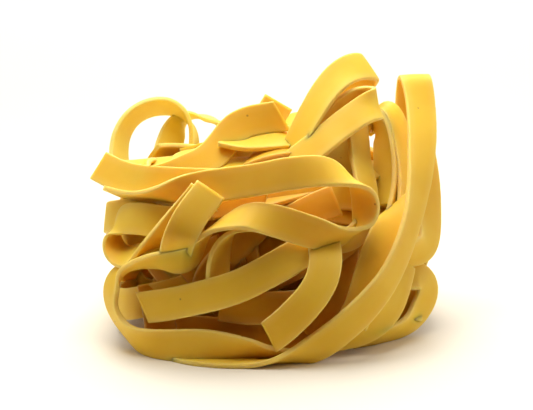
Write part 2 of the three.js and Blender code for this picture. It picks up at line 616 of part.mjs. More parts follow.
// Cross-section frames at even spacing along a ribbon.
function sections({ points, widths, cuts = [0, 0] }, spacing) {
  const line = new THREE.CatmullRomCurve3(points, false, "centripetal");
  const lean = new THREE.CatmullRomCurve3(widths, false, "catmullrom");
  line.arcLengthDivisions = LENGTH_STEPS * points.length;
  const count = Math.max(FEWEST_SECTIONS, Math.round(line.getLength() / spacing));
  const frames = [];
  for (let i = 0; i <= count; i += 1) {
    const t = line.getUtoTmapping(i / count);
    const along = line.getTangent(t);
    const across = lean.getPoint(t);
    across.addScaledVector(along, -across.dot(along)).normalize();
    const through = new THREE.Vector3().crossVectors(along, across);
    const beforeStart = Math.max(1 - (i * spacing) / CUT_REACH, 0);
    const beforeEnd = Math.max(1 - ((count - i) * spacing) / CUT_REACH, 0);
    const askew = (cuts[0] * beforeStart + cuts[1] * beforeEnd) / RIBBON_WIDTH;
    frames.push({ centre: line.getPoint(t), across: across.addScaledVector(along, askew), through });
  }
  return frames;
}

// A closed ribbon with a rectangular section.
function ribbonGeometry(ribbon, spacing) {
  const frames = sections(ribbon, spacing);
  const corners = [
    [-1, -1],
    [1, -1],
    [1, 1],
    [-1, 1],
  ];
  const positions = [];
  for (const { centre, across, through } of frames) {
    for (const [side, face] of corners) {
      const corner = centre.clone();
      corner.addScaledVector(across, (side * RIBBON_WIDTH) / 2);
      corner.addScaledVector(through, (face * RIBBON_THICKNESS) / 2);
      positions.push(corner.x, corner.y, corner.z);
    }
  }
  const faces = [];
  const last = 4 * (frames.length - 1);
  for (let ring = 0; ring < last; ring += 4) {
    for (let side = 0; side < 4; side += 1) {
      const a = ring + side;
      const b = ring + ((side + 1) % 4);
      faces.push(a, b, b + 4, a, b + 4, a + 4);
    }
  }
  faces.push(0, 2, 1, 0, 3, 2);
  faces.push(last, last + 1, last + 2, last, last + 2, last + 3);
  const geometry = new THREE.BufferGeometry();
  geometry.setAttribute("position", new THREE.Float32BufferAttribute(positions, 3));
  geometry.setIndex(faces);
  return geometry;
}

// The lumpy core that the ribbons are wound on.
function coreGeometry() {
  const geometry = new THREE.SphereGeometry(1, CORE_COLUMNS, CORE_ROWS);
  geometry.rotateX(Math.PI / 2);
  const position = geometry.getAttribute("position");
  const spot = new THREE.Vector3();
  for (let i = 0; i < position.count; i += 1) {
    spot.fromBufferAttribute(position, i);
    const across = Math.sin(CORE_WAVES[0] * spot.x + CORE_WAVES[1] * spot.z);
    const lump = across * Math.cos(CORE_WAVES[2] * spot.y + CORE_WAVES[3] * spot.z);
    spot.set(
      CORE_CENTRE[0] + spot.x * (CORE_RADIUS[0] + CORE_LUMP * lump),
      CORE_CENTRE[1] + spot.y * (CORE_RADIUS[1] + CORE_LUMP * lump),
      CORE_CENTRE[2] + spot.z * (CORE_RADIUS[2] + CORE_LUMP * lump),
    );
    position.setXYZ(i, spot.x, spot.y, spot.z);
  }
  return geometry;
}

// A triangle geometry as a solid.
function solid(geometry) {
  geometry.deleteAttribute("normal");
  geometry.deleteAttribute("uv");
  const merged = mergeVertices(geometry);
  return new wasm.Manifold(
    new wasm.Mesh({
      numProp: 3,
      vertProperties: merged.getAttribute("position").array,
      triVerts: new Uint32Array(merged.getIndex().array),
    }),
  );
}

// Corners that all but touch are moved apart towards the middle of their own neighbours, so that
// the surface stays closed when its sizes are rounded.
function separateCorners(positions, faces) {
  const count = positions.length / 3;
  const corners = [];
  for (let i = 0; i < count; i += 1) {
    corners.push(new THREE.Vector3().fromArray(positions, 3 * i));
  }
  const neighbours = corners.map(() => new Set());
  for (let i = 0; i < faces.length; i += 3) {
    for (let side = 0; side < 3; side += 1) {
      neighbours[faces[i + side]].add(faces[i + ((side + 1) % 3)]);
      neighbours[faces[i + ((side + 1) % 3)]].add(faces[i + side]);
    }
  }
  for (let pass = 0; pass < SEPARATION_PASSES; pass += 1) {
    const order = corners.map((corner, i) => i).sort((a, b) => corners[a].x - corners[b].x);
    let moved = 0;
    order.forEach((a, rank) => {
      for (let next = rank + 1; next < count; next += 1) {
        const b = order[next];
        if (corners[b].x - corners[a].x > SMALLEST_GAP) {
          break;
        }
        if (corners[a].distanceTo(corners[b]) < SMALLEST_GAP) {
          const middle = new THREE.Vector3();
          neighbours[b].forEach((n) => middle.addScaledVector(corners[n], 1 / neighbours[b].size));
          corners[b].add(middle.sub(corners[b]).setLength(3 * SMALLEST_GAP));
          moved += 1;
        }
      }
    });
    if (moved === 0) {
      break;
    }
  }
  corners.forEach((corner, i) => corner.toArray(positions, 3 * i));
}

// A solid as a triangle geometry.
function geometryOf(body) {
  const mesh = body.getMesh();
  separateCorners(mesh.vertProperties, mesh.triVerts);
  const geometry = new THREE.BufferGeometry();
  geometry.setAttribute("position", new THREE.BufferAttribute(mesh.vertProperties, 3));
  geometry.setIndex(new THREE.BufferAttribute(mesh.triVerts, 1));
  geometry.computeVertexNormals();
  return geometry;
}

// Everything under the resting surface is cut away, which leaves flat feet.
function floorBlock() {
  const size = 200;
  const block = new THREE.BoxGeometry(size, size, size);
  block.translate(0, 0, -size / 2);
  return block;
}

function nest() {
  const front = Object.entries(STRANDS).map(frontRibbon);
  const rest = [...BACK_LOOPS.map(backRibbon), ...COILS.map(coiledRibbon)];
  const pieces = [
    ...front.map((ribbon) => ribbonGeometry(ribbon, FRONT_SPACING)),
    ...rest.map((ribbon) => ribbonGeometry(ribbon, BACK_SPACING)),
  ];
  let heap = solid(coreGeometry());
  for (const piece of pieces) {
    heap = heap.add(solid(piece));
  }
  heap = heap.subtract(solid(floorBlock()));
  // The largest body is the nest. Loose scraps go, and sealed hollows are filled by leaving them out.
  const bodies = heap.setTolerance(SURFACE_TOLERANCE).decompose();
  bodies.sort((a, b) => b.volume() - a.volume());
  return geometryOf(bodies[0]);
}

const pasta = new THREE.MeshStandardMaterial({
  name: "egg_pasta",
  color: new THREE.Color(0.87, 0.68, 0.25),
  roughness: 0.55,
  metalness: 0,
});

const pastaNest = new THREE.Mesh(nest(), pasta);
pastaNest.name = "pasta_nest";

const part = new THREE.Group();
part.add(pastaNest);

export default part;
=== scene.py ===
"""A nest of dry egg tagliatelle, laid out as a Blender add-on and run as a script.

Every ribbon is a mesh of its own width and thickness. The front ribbons follow the same points as
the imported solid, the back, top and base ribbons follow the same formulas, and further windings
stand on a small core inside them. Lengths are in millimetres until a mesh is made.
"""
import math

import bmesh
import bpy
import numpy as np
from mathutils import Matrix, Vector


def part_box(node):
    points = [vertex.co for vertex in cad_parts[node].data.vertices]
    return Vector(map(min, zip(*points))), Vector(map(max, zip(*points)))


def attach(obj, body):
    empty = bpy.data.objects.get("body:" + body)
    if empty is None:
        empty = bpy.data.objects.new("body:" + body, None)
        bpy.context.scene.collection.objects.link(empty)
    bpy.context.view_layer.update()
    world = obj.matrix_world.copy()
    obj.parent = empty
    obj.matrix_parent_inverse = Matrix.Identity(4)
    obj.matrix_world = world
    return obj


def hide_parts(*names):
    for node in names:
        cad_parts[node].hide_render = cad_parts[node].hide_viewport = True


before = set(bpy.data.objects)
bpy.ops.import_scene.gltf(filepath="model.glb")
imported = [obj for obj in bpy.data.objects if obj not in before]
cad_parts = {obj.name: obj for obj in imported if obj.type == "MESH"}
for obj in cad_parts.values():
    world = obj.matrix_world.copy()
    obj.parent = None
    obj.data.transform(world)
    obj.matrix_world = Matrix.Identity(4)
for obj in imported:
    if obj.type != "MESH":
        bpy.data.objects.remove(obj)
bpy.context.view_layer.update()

bl_info = {
    "name": "Tagliatelle Nest",
    "version": (1, 0, 0),
    "blender": (4, 5, 0),
    "location": "3D View > Sidebar > Pasta",
    "description": "Builds a nest of dry egg tagliatelle round the packed solid",
    "category": "Object",
}

MM = 0.001
NODE = "pasta_nest"
LOWEST, HIGHEST = (np.array(corner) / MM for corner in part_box(NODE))
MIDDLE_HEIGHT = (LOWEST[2] + HIGHEST[2]) / 2

# The plane that the front ribbons are laid out on leans back. An eye in front of it sees them.
LEAN = math.radians(13)
EYE_DISTANCE = 430
EYE_HEIGHT = 33.4  # height on the plane that the eye looks at
PLANE_FOOT = np.array([-0.2, -5.6, -9.2])
PLANE_UP = np.array([0, math.sin(LEAN), math.cos(LEAN)])
PLANE_IN = np.array([0, math.cos(LEAN), -math.sin(LEAN)])
VIEW_WIDTH = 106.6  # of the picture, where it meets the plane

# The ribbons at the back lie on a rounded shell.
SHELL_RADIUS = np.array([31, 29.5])  # across, front to back
SHELL_CENTRE = np.array([0, 1.5])
SHELL_MIDDLE = 16  # height at which the shell is widest
SHELL_HEIGHT = 25  # from there to its top or bottom
SHELL_NARROWEST = 0.3  # the least that the square of its share of the full width comes to
LOOP_POINTS = 14
COIL_POINTS = 12

# The inner windings and their core.
CORE_RADIUS = np.array([22.5, 21, 17.5])
CORE_CENTRE = np.array([0, 0.5, 16.5])

# Each row is a point of a ribbon: across, up and depth (less is nearer), then the direction
# of its width as across, up and depth.
STRANDS = {
    "belt": [
        (-30.6, 36, -10.5, 0.1, 0.06, -0.99), (-28.2, 35.4, -12.6, 0.05, 0.1, -0.98),
        (-25, 35, -15.8, 0, 0.16, -0.98), (-21.4, 35.2, -19.8, 0, 0.3, -0.95),
        (-18.2, 35.8, -22.8, 0.05, 0.56, -0.8), (-13, 36.9, -26.2, -0.05, 1, 0.02),
        (-2.4, 38.4, -29, -0.15, 1, 0.22), (4.6, 39.7, -29.5, -0.12, 1, 0.15),
        (11.6, 40.2, -27.8, -0.1, 0.9, 0.4), (15.8, 39.2, -25.4, -0.42, 0.62, 0.66),
        (18.6, 37.2, -23.5, -0.68, 0.35, 0.64), (19.8, 34.4, -22.2, -0.8, 0.08, 0.6),
        (19.8, 31.8, -21.7, -0.8, -0.05, 0.6), (19.2, 29.5, -21.8, -0.62, -0.2, 0.76),
        (18, 27.9, -22.4, -0.4, -0.34, 0.85), (16, 27, -23.8, -0.15, -0.4, 0.9),
        (13.1, 26.8, -25.6, -0.15, -0.68, 0.7), (10, 27.7, -27.4, -0.2, -0.95, 0.25),
        (6.6, 28.7, -28.8, -0.22, -0.97, 0), (3, 29.9, -29.8, -0.2, -1, -0.15),
        (-0.8, 30.8, -30.5, -0.1, -0.92, -0.4), (-4, 31.2, -30.7, 0, -0.7, -0.7),
        (-7, 30.5, -30, 0.05, -0.45, -0.9), (-9.8, 29.4, -28.8, 0.1, -0.1, -1),
        (-12.4, 27.4, -27.4, 0.1, 0.25, -0.96), (-14.3, 24.8, -26.6, 0.1, 0.65, -0.75),
        (-16.2, 22.6, -26.2, 0.05, 0.9, -0.45), (-18.6, 22, -25.6, 0, 0.65, -0.75),
        (-21.4, 22.1, -24.6, 0, 0.4, -0.9), (-24, 21.7, -23.2, 0.05, 0.3, -0.95),
        (-26.4, 21, -21.4, 0.2, 0.2, -0.95), (-29, 19.8, -19, 0.4, 0.05, -0.9),
        (-30.7, 17.6, -17.4, 0.5, 0, -0.86), (-31.2, 14.8, -16.6, 0.42, 0.05, -0.88),
        (-30.3, 11.6, -16.8, 0.15, 0.35, -0.92), (-28.3, 8.8, -17.8, -0.1, 0.55, -0.83),
        (-26.2, 6.6, -20.4, -0.15, 0.75, -0.65), (-23.2, 5.6, -22.8, -0.05, 0.88, -0.45),
        (-18.4, 5.3, -24.8, 0, 0.95, -0.25), (-13.4, 5.4, -25.8, 0, 0.97, -0.2),
        (-8.4, 5, -26.2, 0.1, 0.85, -0.5), (-5.4, 4.6, -26.2, 0.1, 0.72, -0.68),
        (-2.4, 4.1, -25.2, 0.1, 0.55, -0.82), (1, 3.4, -24.6, 0.1, 0.4, -0.9),
        (5.6, 3.2, -22.8, 0, 0.35, -0.93),
    ],
    "left_end": [
        (-33.4, 41.2, -7.5, 0.48, 0.86, 0.11), (-30.9, 39.9, -10, 0.36, 0.9, 0.2),
        (-27, 38.6, -13.5, 0.25, 0.95, 0.25), (-22.2, 38, -17.5, 0.1, 1, 0.22),
        (-17, 37.7, -19.8, 0.05, 1, 0.22), (-12, 37.6, -20.4, 0, 1, 0.3),
        (-6, 37.4, -19.5, 0, 0.9, 0.4), (0, 37.8, -16.5, 0, 0.8, 0.6),
    ],
    "flap": [
        (-11.2, 36.4, -28.6, 0.77, -0.64, -0.12), (-13, 34, -29.8, 0.84, -0.54, -0.05),
        (-14.8, 31.7, -30.8, 0.84, -0.54, 0), (-16.1, 29.4, -31.4, 0.9, -0.44, 0),
        (-17.2, 27.2, -31.2, 0.96, -0.25, 0), (-17.9, 25, -28.4, 1, -0.1, 0),
        (-18.4, 22.4, -24.2, 1, 0, 0.1),
    ],
    "left_loop": [
        (-12.5, 30, -19.5, 0.1, 1, 0.1), (-18.8, 29.8, -20.5, 0.1, 1, 0.1),
        (-22.6, 30.2, -19.8, 0.05, 1, 0.15), (-26, 30.7, -17.6, 0, 1, 0.25),
        (-28.8, 30.4, -14.8, 0, 0.95, 0.35), (-30.4, 28.8, -13.2, 0.3, 0.55, 0.75),
        (-30.7, 26.4, -13, 0.35, 0.25, 0.86), (-29.6, 24, -14.4, 0.25, 0.55, 0.75),
        (-27.2, 23.1, -17.2, -0.05, 0.6, 0.75), (-24.6, 24.3, -20.2, 0.15, 0.1, 0.95),
        (-21.8, 26, -22.4, 0.4, -0.3, 0.85), (-19.6, 27.8, -24.2, 0.6, -0.48, 0.65),
        (-17.2, 30.2, -26, 0.74, -0.55, 0.35), (-14.6, 33, -27.4, 0.8, -0.58, 0.1),
        (-12.4, 35.8, -27.8, 0.8, -0.6, 0),
    ],
    "arch": [
        (-8.8, 14, -23.6, 0.65, 0, 0.76), (-9.7, 18.2, -25.2, 0.65, 0, 0.76),
        (-9.7, 21.6, -25.8, 0.62, 0, 0.8), (-9, 24.8, -26, 0.5, 0.05, 0.86),
        (-7.6, 27.2, -26, 0.35, 0.12, 0.92), (-5.4, 28.8, -25.8, 0.12, 0.22, 0.96),
        (-2.4, 29.4, -25, 0, 0.3, 0.95), (2.6, 29.2, -22, 0, 0.5, 0.86),
        (7, 27.4, -17, 0, 0.7, 0.7),
    ],
    "diagonal": [
        (-24.6, 12.9, -21, -0.2, 0.97, 0.1), (-20.4, 13.4, -23.8, -0.2, 0.97, 0.1),
        (-15.4, 14.4, -26.4, -0.2, 0.97, 0.1), (-10.4, 15.6, -28.4, -0.25, 0.96, 0.1),
        (-5.4, 17.2, -29.4, -0.4, 0.9, 0.1), (-0.8, 19.5, -29.4, -0.45, 0.9, 0.1),
        (3.8, 22, -28.2, -0.48, 0.88, 0.1), (7.2, 24.1, -26, -0.5, 0.85, 0.15),
        (10.4, 26.4, -22.4, -0.5, 0.8, 0.3), (13, 29, -18, -0.4, 0.8, 0.4),
    ],
    "hanging": [
        (10.8, 28, -21, 0.98, 0.1, 0.15), (11.6, 25, -25, 1, 0, 0.1), (11.8, 22, -27.6, 1, 0, 0.05),
        (11.2, 18.8, -29, 0.97, -0.2, 0), (9.2, 15.2, -30, 0.82, -0.57, 0),
        (6.2, 11.8, -30.4, 0.75, -0.65, 0), (3.2, 9, -30, 0.68, -0.73, 0),
        (0.6, 7, -28.8, 0.66, -0.75, 0),
    ],
    "right_curl": [
        (17.8, 50.4, -4.5, 0.55, 0.1, 0.83), (18.3, 46.6, -7.6, 0.55, 0.05, 0.83),
        (18.7, 43, -10.4, 0.55, 0, 0.83), (19.4, 39.8, -12.6, 0.6, 0, 0.8),
        (20.1, 36.4, -14.6, 0.62, 0, 0.78), (20.2, 33.2, -16.2, 0.6, -0.15, 0.78),
        (19.6, 29.6, -17.6, 0.5, -0.4, 0.75), (17.6, 27.2, -19.4, 0.35, -0.5, 0.78),
        (14.8, 26.1, -21.2, 0.2, -0.58, 0.78), (11.6, 26.2, -22.6, 0, -0.6, 0.8),
        (7.6, 26.6, -23.2, 0, -0.6, 0.8),
    ],
    "tall_loop": [
        (3.4, 40.6, -11.4, -0.6, 0.3, 0.72), (5.6, 45, -11.6, -0.6, 0.3, 0.72),
        (7.5, 49, -11.4, -0.6, 0.35, 0.7), (9.6, 52.8, -10.6, -0.6, 0.42, 0.68),
        (11.7, 56.1, -9.4, -0.6, 0.5, 0.62), (14, 58.8, -7.8, -0.54, 0.62, 0.57),
        (16.2, 60.4, -5.8, -0.45, 0.76, 0.46), (18.2, 61.1, -3.4, -0.48, 0.82, 0.3),
        (19.9, 61.1, -0.4, -0.55, 0.82, 0.12), (20.6, 60.7, 2.8, -0.57, 0.82, 0),
        (19.6, 59, 6.2, -0.5, 0.86, 0), (16, 55, 8.4, -0.2, 0.96, 0), (10, 49, 7, 0.2, 0.95, 0.1),
    ],
    "second_loop": [
        (5.6, 41.4, -9.6, -0.5, 0.4, -0.75), (8, 44.8, -9.4, -0.48, 0.45, -0.75),
        (10.8, 48.2, -8.8, -0.45, 0.5, -0.74), (13.8, 51.4, -7.8, -0.42, 0.52, -0.74),
        (16.5, 53.4, -6.8, -0.38, 0.62, -0.68), (19, 54.3, -6.2, -0.3, 0.8, -0.5),
        (21.6, 54.1, -7, -0.2, 0.93, -0.25), (22.2, 53.6, -8.9, -0.12, 0.95, 0.05),
        (21, 53.1, -10.9, -0.28, 0.82, 0.45), (19.1, 52.1, -12, -0.42, 0.7, 0.56),
        (17.3, 50.9, -12.8, -0.46, 0.72, 0.5), (15.4, 49.6, -13.4, -0.5, 0.68, 0.54),
        (13.3, 48, -14, -0.5, 0.66, 0.56), (11.2, 46.3, -14.6, -0.5, 0.65, 0.57),
        (9, 44.6, -15, -0.5, 0.65, 0.57), (6.8, 42.9, -15.4, -0.5, 0.65, 0.57),
        (4.4, 41, -15.4, -0.5, 0.65, 0.57),
    ],
    "right_tower": [
        (21, 30, 8, 0.9, 0.2, 0.3), (25.6, 34.6, 9, 0.95, 0.1, 0.3), (28, 40, 9, 0.95, 0, 0.3),
        (28.2, 46, 9.4, 0.95, 0, 0.3), (28.6, 52, 8.8, 0.95, 0, 0.25),
        (28.9, 56.6, 7.4, 0.95, 0, 0.2), (29.4, 59.2, 4.4, 0.97, 0.05, 0.1),
        (30, 58.4, 1.2, 0.97, 0.05, 0.15), (30.6, 55.4, -1, 0.93, 0.03, 0.3),
        (31, 51.4, -4, 0.88, 0, 0.4), (31.1, 47.4, -7, 0.85, 0, 0.45),
        (30.9, 43.4, -9.8, 0.8, 0, 0.55), (30.6, 39.4, -12.4, 0.68, 0, 0.72),
        (30, 35.4, -14.8, 0.6, 0, 0.8), (29.4, 32, -16.8, 0.52, -0.05, 0.85),
        (28.6, 28.8, -18.4, 0.5, -0.15, 0.85), (27, 24, -20.8, 0.5, -0.25, 0.83),
        (24, 18, -23.8, 0.55, -0.35, 0.75), (19.8, 12.8, -25.8, 0.6, -0.55, 0.58),
        (15, 8.4, -27, 0.55, -0.65, 0.5), (10.2, 5, -27, 0.4, -0.75, 0.5),
        (5.6, 3, -26.9, 0.15, -0.5, 0.83), (0.6, 2, -26.5, 0, -0.05, 1),
        (-3.8, 1.9, -26, 0, 0.15, 0.98), (-9, 2.1, -25.7, 0, 0.22, 0.97),
        (-14, 2.6, -24, 0, 0.22, 0.97), (-18.6, 3.8, -20, 0.1, 0.22, 0.97),
        (-21.4, 5.4, -14.8, 0.3, 0.22, 0.93),
    ],
    "right_side": [
        (30.4, 49, 7.6, 0.8, 0, 0.6), (31, 45, 5.4, 0.8, 0, 0.6), (31.8, 40.4, 2.4, 0.8, 0, 0.6),
        (32.4, 35.4, -0.4, 0.76, 0, 0.65), (32.6, 30.8, -2.8, 0.72, -0.05, 0.69),
        (32.5, 27.2, -5.2, 0.62, -0.25, 0.74), (31.6, 24.9, -8, 0.45, -0.55, 0.7),
        (29.3, 23.8, -11, 0.15, -0.65, 0.74), (26, 22.8, -13.6, 0, -0.75, 0.66),
        (21.6, 21.8, -15.8, 0, -0.85, 0.53),
    ],
    "hook": [
        (24.5, 18.2, -12, 0, 0.8, 0.6), (28, 19.2, -9.8, 0.1, 0.8, 0.6),
        (30.8, 19.2, -8.2, 0.4, 0.65, 0.65), (32.2, 17.6, -7.4, 0.62, 0.3, 0.72),
        (32.2, 15.7, -7.4, 0.68, -0.1, 0.72), (31.3, 13.6, -8, 0.62, -0.3, 0.72),
        (30, 11.5, -9, 0.5, -0.42, 0.75), (28.2, 9.7, -10.6, 0.25, -0.45, 0.86),
        (25.6, 8.2, -13, 0, -0.4, 0.9), (22.5, 7.2, -15.6, 0, -0.45, 0.9),
        (18.5, 6.6, -18, 0, -0.5, 0.87),
    ],
    "hook_inner": [
        (23.2, 11.6, -12.4, 0, 0.95, 0.3), (26, 12.9, -11, 0, 0.95, 0.3),
        (28.2, 13.4, -9.6, -0.05, 0.95, 0.3), (30.4, 13.2, -7.4, -0.1, 0.95, 0.3),
    ],
    "lens": [
        (27.4, 22, -13, 0.7, -0.1, 0.7), (26.6, 17.8, -15.4, 0.65, -0.2, 0.72),
        (25.3, 13.6, -17.4, 0.6, -0.4, 0.7), (22.6, 10.2, -19.2, 0.5, -0.6, 0.62),
        (18.6, 8, -21, 0.35, -0.75, 0.56), (13.4, 6.8, -22.4, 0.2, -0.8, 0.57),
    ],
    "small_arch": [
        (21, 48, 3.4, 0.3, 0.1, 0.93), (21.6, 51.4, 2.8, 0.2, 0.2, 0.95),
        (23, 53, 1.6, 0.1, 0.35, 0.93), (24.8, 52.4, 0.2, 0.3, 0.3, 0.9),
        (26.2, 49.8, -1.4, 0.55, 0.2, 0.8), (27.2, 45.6, -3.2, 0.55, 0.1, 0.83),
        (27.8, 41, -5.4, 0.5, 0, 0.87), (27.9, 36.4, -7.6, 0.45, 0, 0.9),
        (27.4, 32, -9.6, 0.4, 0, 0.92), (26, 27.6, -11.8, 0.4, -0.1, 0.9),
    ],
    "small_arch_inner": [
        (20.4, 51.8, 2.6, 0.1, 0, 1), (21.9, 52.3, 1.6, 0.05, 0.1, 1),
        (23.3, 51.5, 0.6, 0.05, 0.1, 1), (24.3, 49.7, -0.6, 0.1, 0.05, 1),
        (25.1, 47.2, -2, 0.15, 0, 0.98), (25.8, 43.8, -4, 0.2, 0, 0.97),
        (26.2, 39.8, -6.2, 0.25, 0, 0.96), (26, 35.6, -8.4, 0.3, 0, 0.95),
        (25.2, 31.6, -10.6, 0.35, -0.1, 0.93), (23.6, 27.2, -12.8, 0.35, -0.2, 0.9),
    ],
    "inner_post": [
        (24.6, 46.6, 3, 0.95, 0, 0.2), (25.4, 43.4, 1, 0.95, 0, 0.2),
        (25.5, 39.8, -2, 0.95, 0, 0.2), (25.3, 36, -5, 0.95, 0, 0.2),
        (24.6, 32, -7.6, 0.95, 0, 0.2), (22.8, 27.6, -9.8, 0.95, -0.1, 0.2),
    ],
    "right_fall": [
        (25.4, 33.2, -12.6, 0.82, 0.55, 0.12), (25.2, 31.4, -14.8, 0.88, 0.15, 0.15),
        (24.2, 28.4, -17.4, 0.88, -0.35, 0.1), (22.5, 24.8, -19.6, 0.88, -0.45, 0.1),
        (21.2, 21, -21.2, 0.93, -0.35, 0.1), (20.1, 17.2, -22.2, 0.95, -0.3, 0.1),
        (18.9, 13.4, -22.6, 0.95, -0.3, 0.1), (17, 9.6, -22, 0.9, -0.4, 0.1),
    ],
    "ring": [
        (-26.6, 36, 10, 0.45, -0.1, 0.88), (-28.8, 39.6, 12.8, 0.48, -0.1, 0.87),
        (-29.5, 43.6, 14.8, 0.5, -0.1, 0.86), (-28.8, 47.8, 16.2, 0.4, -0.25, 0.88),
        (-26.6, 51.1, 17, 0.25, -0.4, 0.88), (-23.2, 52.9, 17.6, 0.1, -0.5, 0.87),
        (-19.8, 53.1, 18.4, 0, -0.5, 0.87), (-16.7, 51.5, 19.2, 0.05, -0.35, 0.92),
        (-14.8, 48.6, 20, 0.15, -0.15, 0.98), (-14.4, 45.4, 20.4, 0.2, 0, 0.98),
        (-14.8, 42, 20, 0.2, 0, 0.98), (-16, 38, 18, 0.2, 0, 0.98),
    ],
    "ring_far": [
        (-20.4, 37.6, 17, 0.8, 0.2, 0.5), (-20.2, 41.6, 18.6, 0.8, 0.15, 0.55),
        (-19.5, 45.2, 20.2, 0.8, 0, 0.58), (-18.1, 48.6, 22, 0.7, -0.15, 0.7),
        (-15.6, 50.8, 24, 0.25, -0.1, 0.95), (-12.6, 51, 25, 0, 0.2, 0.97),
        (-9.8, 49.8, 24.6, -0.15, 0.2, 0.97), (-7.8, 47.2, 22.6, -0.3, 0.1, 0.95),
        (-7.4, 43.8, 19, -0.4, 0, 0.9), (-8, 40, 15, -0.4, 0, 0.9),
    ],
    "blob": [
        (3, 51.2, -7.6, -0.05, 1, 0), (-1, 50.6, -8.6, -0.05, 1, 0.1),
        (-4.2, 49.9, -9.2, -0.35, 0.92, 0.12), (-6.5, 48.5, -9.8, -0.66, 0.73, 0.15),
        (-8.3, 46.2, -10.6, -0.75, 0.64, 0.2), (-10.3, 43.8, -12, -0.68, 0.7, 0.25),
        (-12.6, 42, -13.4, -0.52, 0.82, 0.3), (-15.4, 40.7, -14.6, -0.45, 0.85, 0.3),
        (-19, 39.1, -15.2, -0.4, 0.86, 0.3), (-23.4, 37.8, -13.8, -0.25, 0.9, 0.3),
        (-27.6, 36.8, -10.2, -0.2, 0.9, 0.3),
    ],
    "top_end": [
        (2.4, 54, -2.6, 0.86, -0.5, 0), (1, 51.6, -3, 0.86, -0.5, 0),
        (-0.6, 48.8, -4, 0.86, -0.5, 0.1), (-2.4, 45.6, -6, 0.86, -0.5, 0.1),
        (-4.6, 42, -9, 0.86, -0.5, 0.1),
    ],
    "top_bump": [
        (-1.6, 43.6, 3, 0, 0.5, 0.86), (1, 47, 3, 0, 0.5, 0.86), (3.6, 49.4, 2.4, 0, 0.5, 0.86),
        (6.8, 50.2, 1, 0, 0.5, 0.86), (9.8, 49, -0.6, 0, 0.5, 0.86), (12, 46, -2, 0, 0.5, 0.86),
    ],
    "bright_band": [
        (-8.8, 45.9, -10.2, 0, 0.16, 1), (-6.6, 45.8, -10.8, 0, 0.34, 0.94),
        (-4.2, 45.7, -11.2, 0, 0.44, 0.9), (-1.4, 45.9, -11.2, -0.03, 0.48, 0.88),
        (1.6, 46.3, -10.4, -0.08, 0.5, 0.86), (4.4, 46.8, -7.6, -0.15, 0.5, 0.85),
        (6.4, 47.4, -3.8, -0.2, 0.5, 0.84),
    ],
    "under_band": [
        (-11, 33.6, -22.5, 0, 0.95, 0.3), (-6, 34.6, -23.8, -0.1, 0.95, 0.3),
        (-2.8, 35.2, -24.2, -0.1, 0.95, 0.3), (0.2, 35.6, -24.2, -0.12, 0.95, 0.3),
    ],
    "eye_band": [
        (4.4, 29.8, -20.6, -0.45, 0.85, 0.25), (8.6, 32.1, -21.2, -0.42, 0.87, 0.25),
        (11.4, 33.4, -21, -0.35, 0.9, 0.25), (14, 34.3, -20.4, -0.25, 0.93, 0.25),
    ],
    "brown_band": [
        (-9, 13.4, -22.5, 0.4, 0.9, 0.1), (-4.4, 12.8, -24.2, 0.1, 1, 0.1),
        (0.2, 12.8, -24.8, 0, 1, 0.1), (4.6, 13, -24, 0, 1, 0.1), (9, 13.6, -21.4, 0, 1, 0.1),
    ],
    "lower_band": [
        (-21, 9.2, -13.2, -0.1, 1, 0.1), (-17.6, 8.6, -16.4, -0.1, 1, 0.1),
        (-13.6, 8, -19.2, -0.1, 1, 0.1), (-6.4, 7.4, -22.2, -0.1, 1, 0.1),
        (-0.4, 6.6, -23, -0.1, 1, 0.1), (6, 6.8, -22, 0.1, 1, 0.1), (12, 8.4, -19, 0.2, 1, 0.1),
    ],
    "behind_hanging": [
        (15.4, 26, -14, 1, 0, 0.1), (15, 21, -17, 1, 0, 0.1), (13.8, 16, -20, 0.95, -0.2, 0.1),
        (11.6, 11.4, -22.4, 0.85, -0.5, 0.1), (8, 7.6, -23, 0.7, -0.7, 0.1),
    ],
    "ring_shade": [
        (-22.6, 43.9, 13, 0, 0.36, -0.93), (-20, 44.2, 14.4, 0, 0.36, -0.93),
        (-16.6, 44.3, 14.8, 0, 0.34, -0.94), (-13, 43.9, 13.6, 0, 0.3, -0.95),
    ],
    "pale_band": [
        (-29, 40.2, -1, 0, 0.45, 0.9), (-24, 41, 3, 0, 0.42, 0.9), (-18.4, 41.6, 5, 0, 0.42, 0.9),
        (-12, 42.2, 5, 0, 0.42, 0.9), (-6, 42.8, 3, 0, 0.45, 0.9),
    ],
    "left_behind": [
        (-22, 31.6, -15, 0, 1, 0.1), (-26.4, 31.6, -12.4, 0, 1, 0.1), (-30.2, 31.2, -8.6, 0, 1, 0),
        (-31.8, 30.9, -3.6, 0.1, 1, 0), (-31.4, 30.6, 1.6, 0.1, 1, 0), (-29, 29.6, 7, 0, 1, 0.1),
    ],
    "left_inner": [
        (-14.6, 23.8, -15.4, 0, 1, 0.1), (-20, 24.6, -15, 0, 1, 0.1),
        (-24.4, 25.2, -12.6, 0, 1, 0.1), (-29, 25.3, -8.8, 0, 1, 0.1), (-30.6, 25, -3.6, 0, 1, 0.1),
        (-28.2, 24.6, 3, 0, 1, 0.1), (-25.4, 23.8, 7.6, 0, 1, 0.1),
    ],
    "lower_inner": [
        (-9, 17.6, -17.4, -0.25, 0.95, 0.1), (-14, 16.8, -17.4, -0.25, 0.95, 0.1),
        (-19, 15.4, -16.6, -0.15, 0.98, 0.1), (-24, 14.2, -14, -0.1, 1, 0.1),
        (-27.6, 13.6, -10.4, 0, 1, 0.1), (-29.6, 13.8, -5.4, 0, 1, 0.1),
        (-29, 14.8, 0.6, 0, 1, 0.1), (-26, 15.6, 6, 0, 1, 0.1),
    ],
    "lower_strut": [
        (-22.8, 17.6, -14, 0.9, 0.3, 0.2), (-21.9, 14, -16.5, 0.95, 0.15, 0.2),
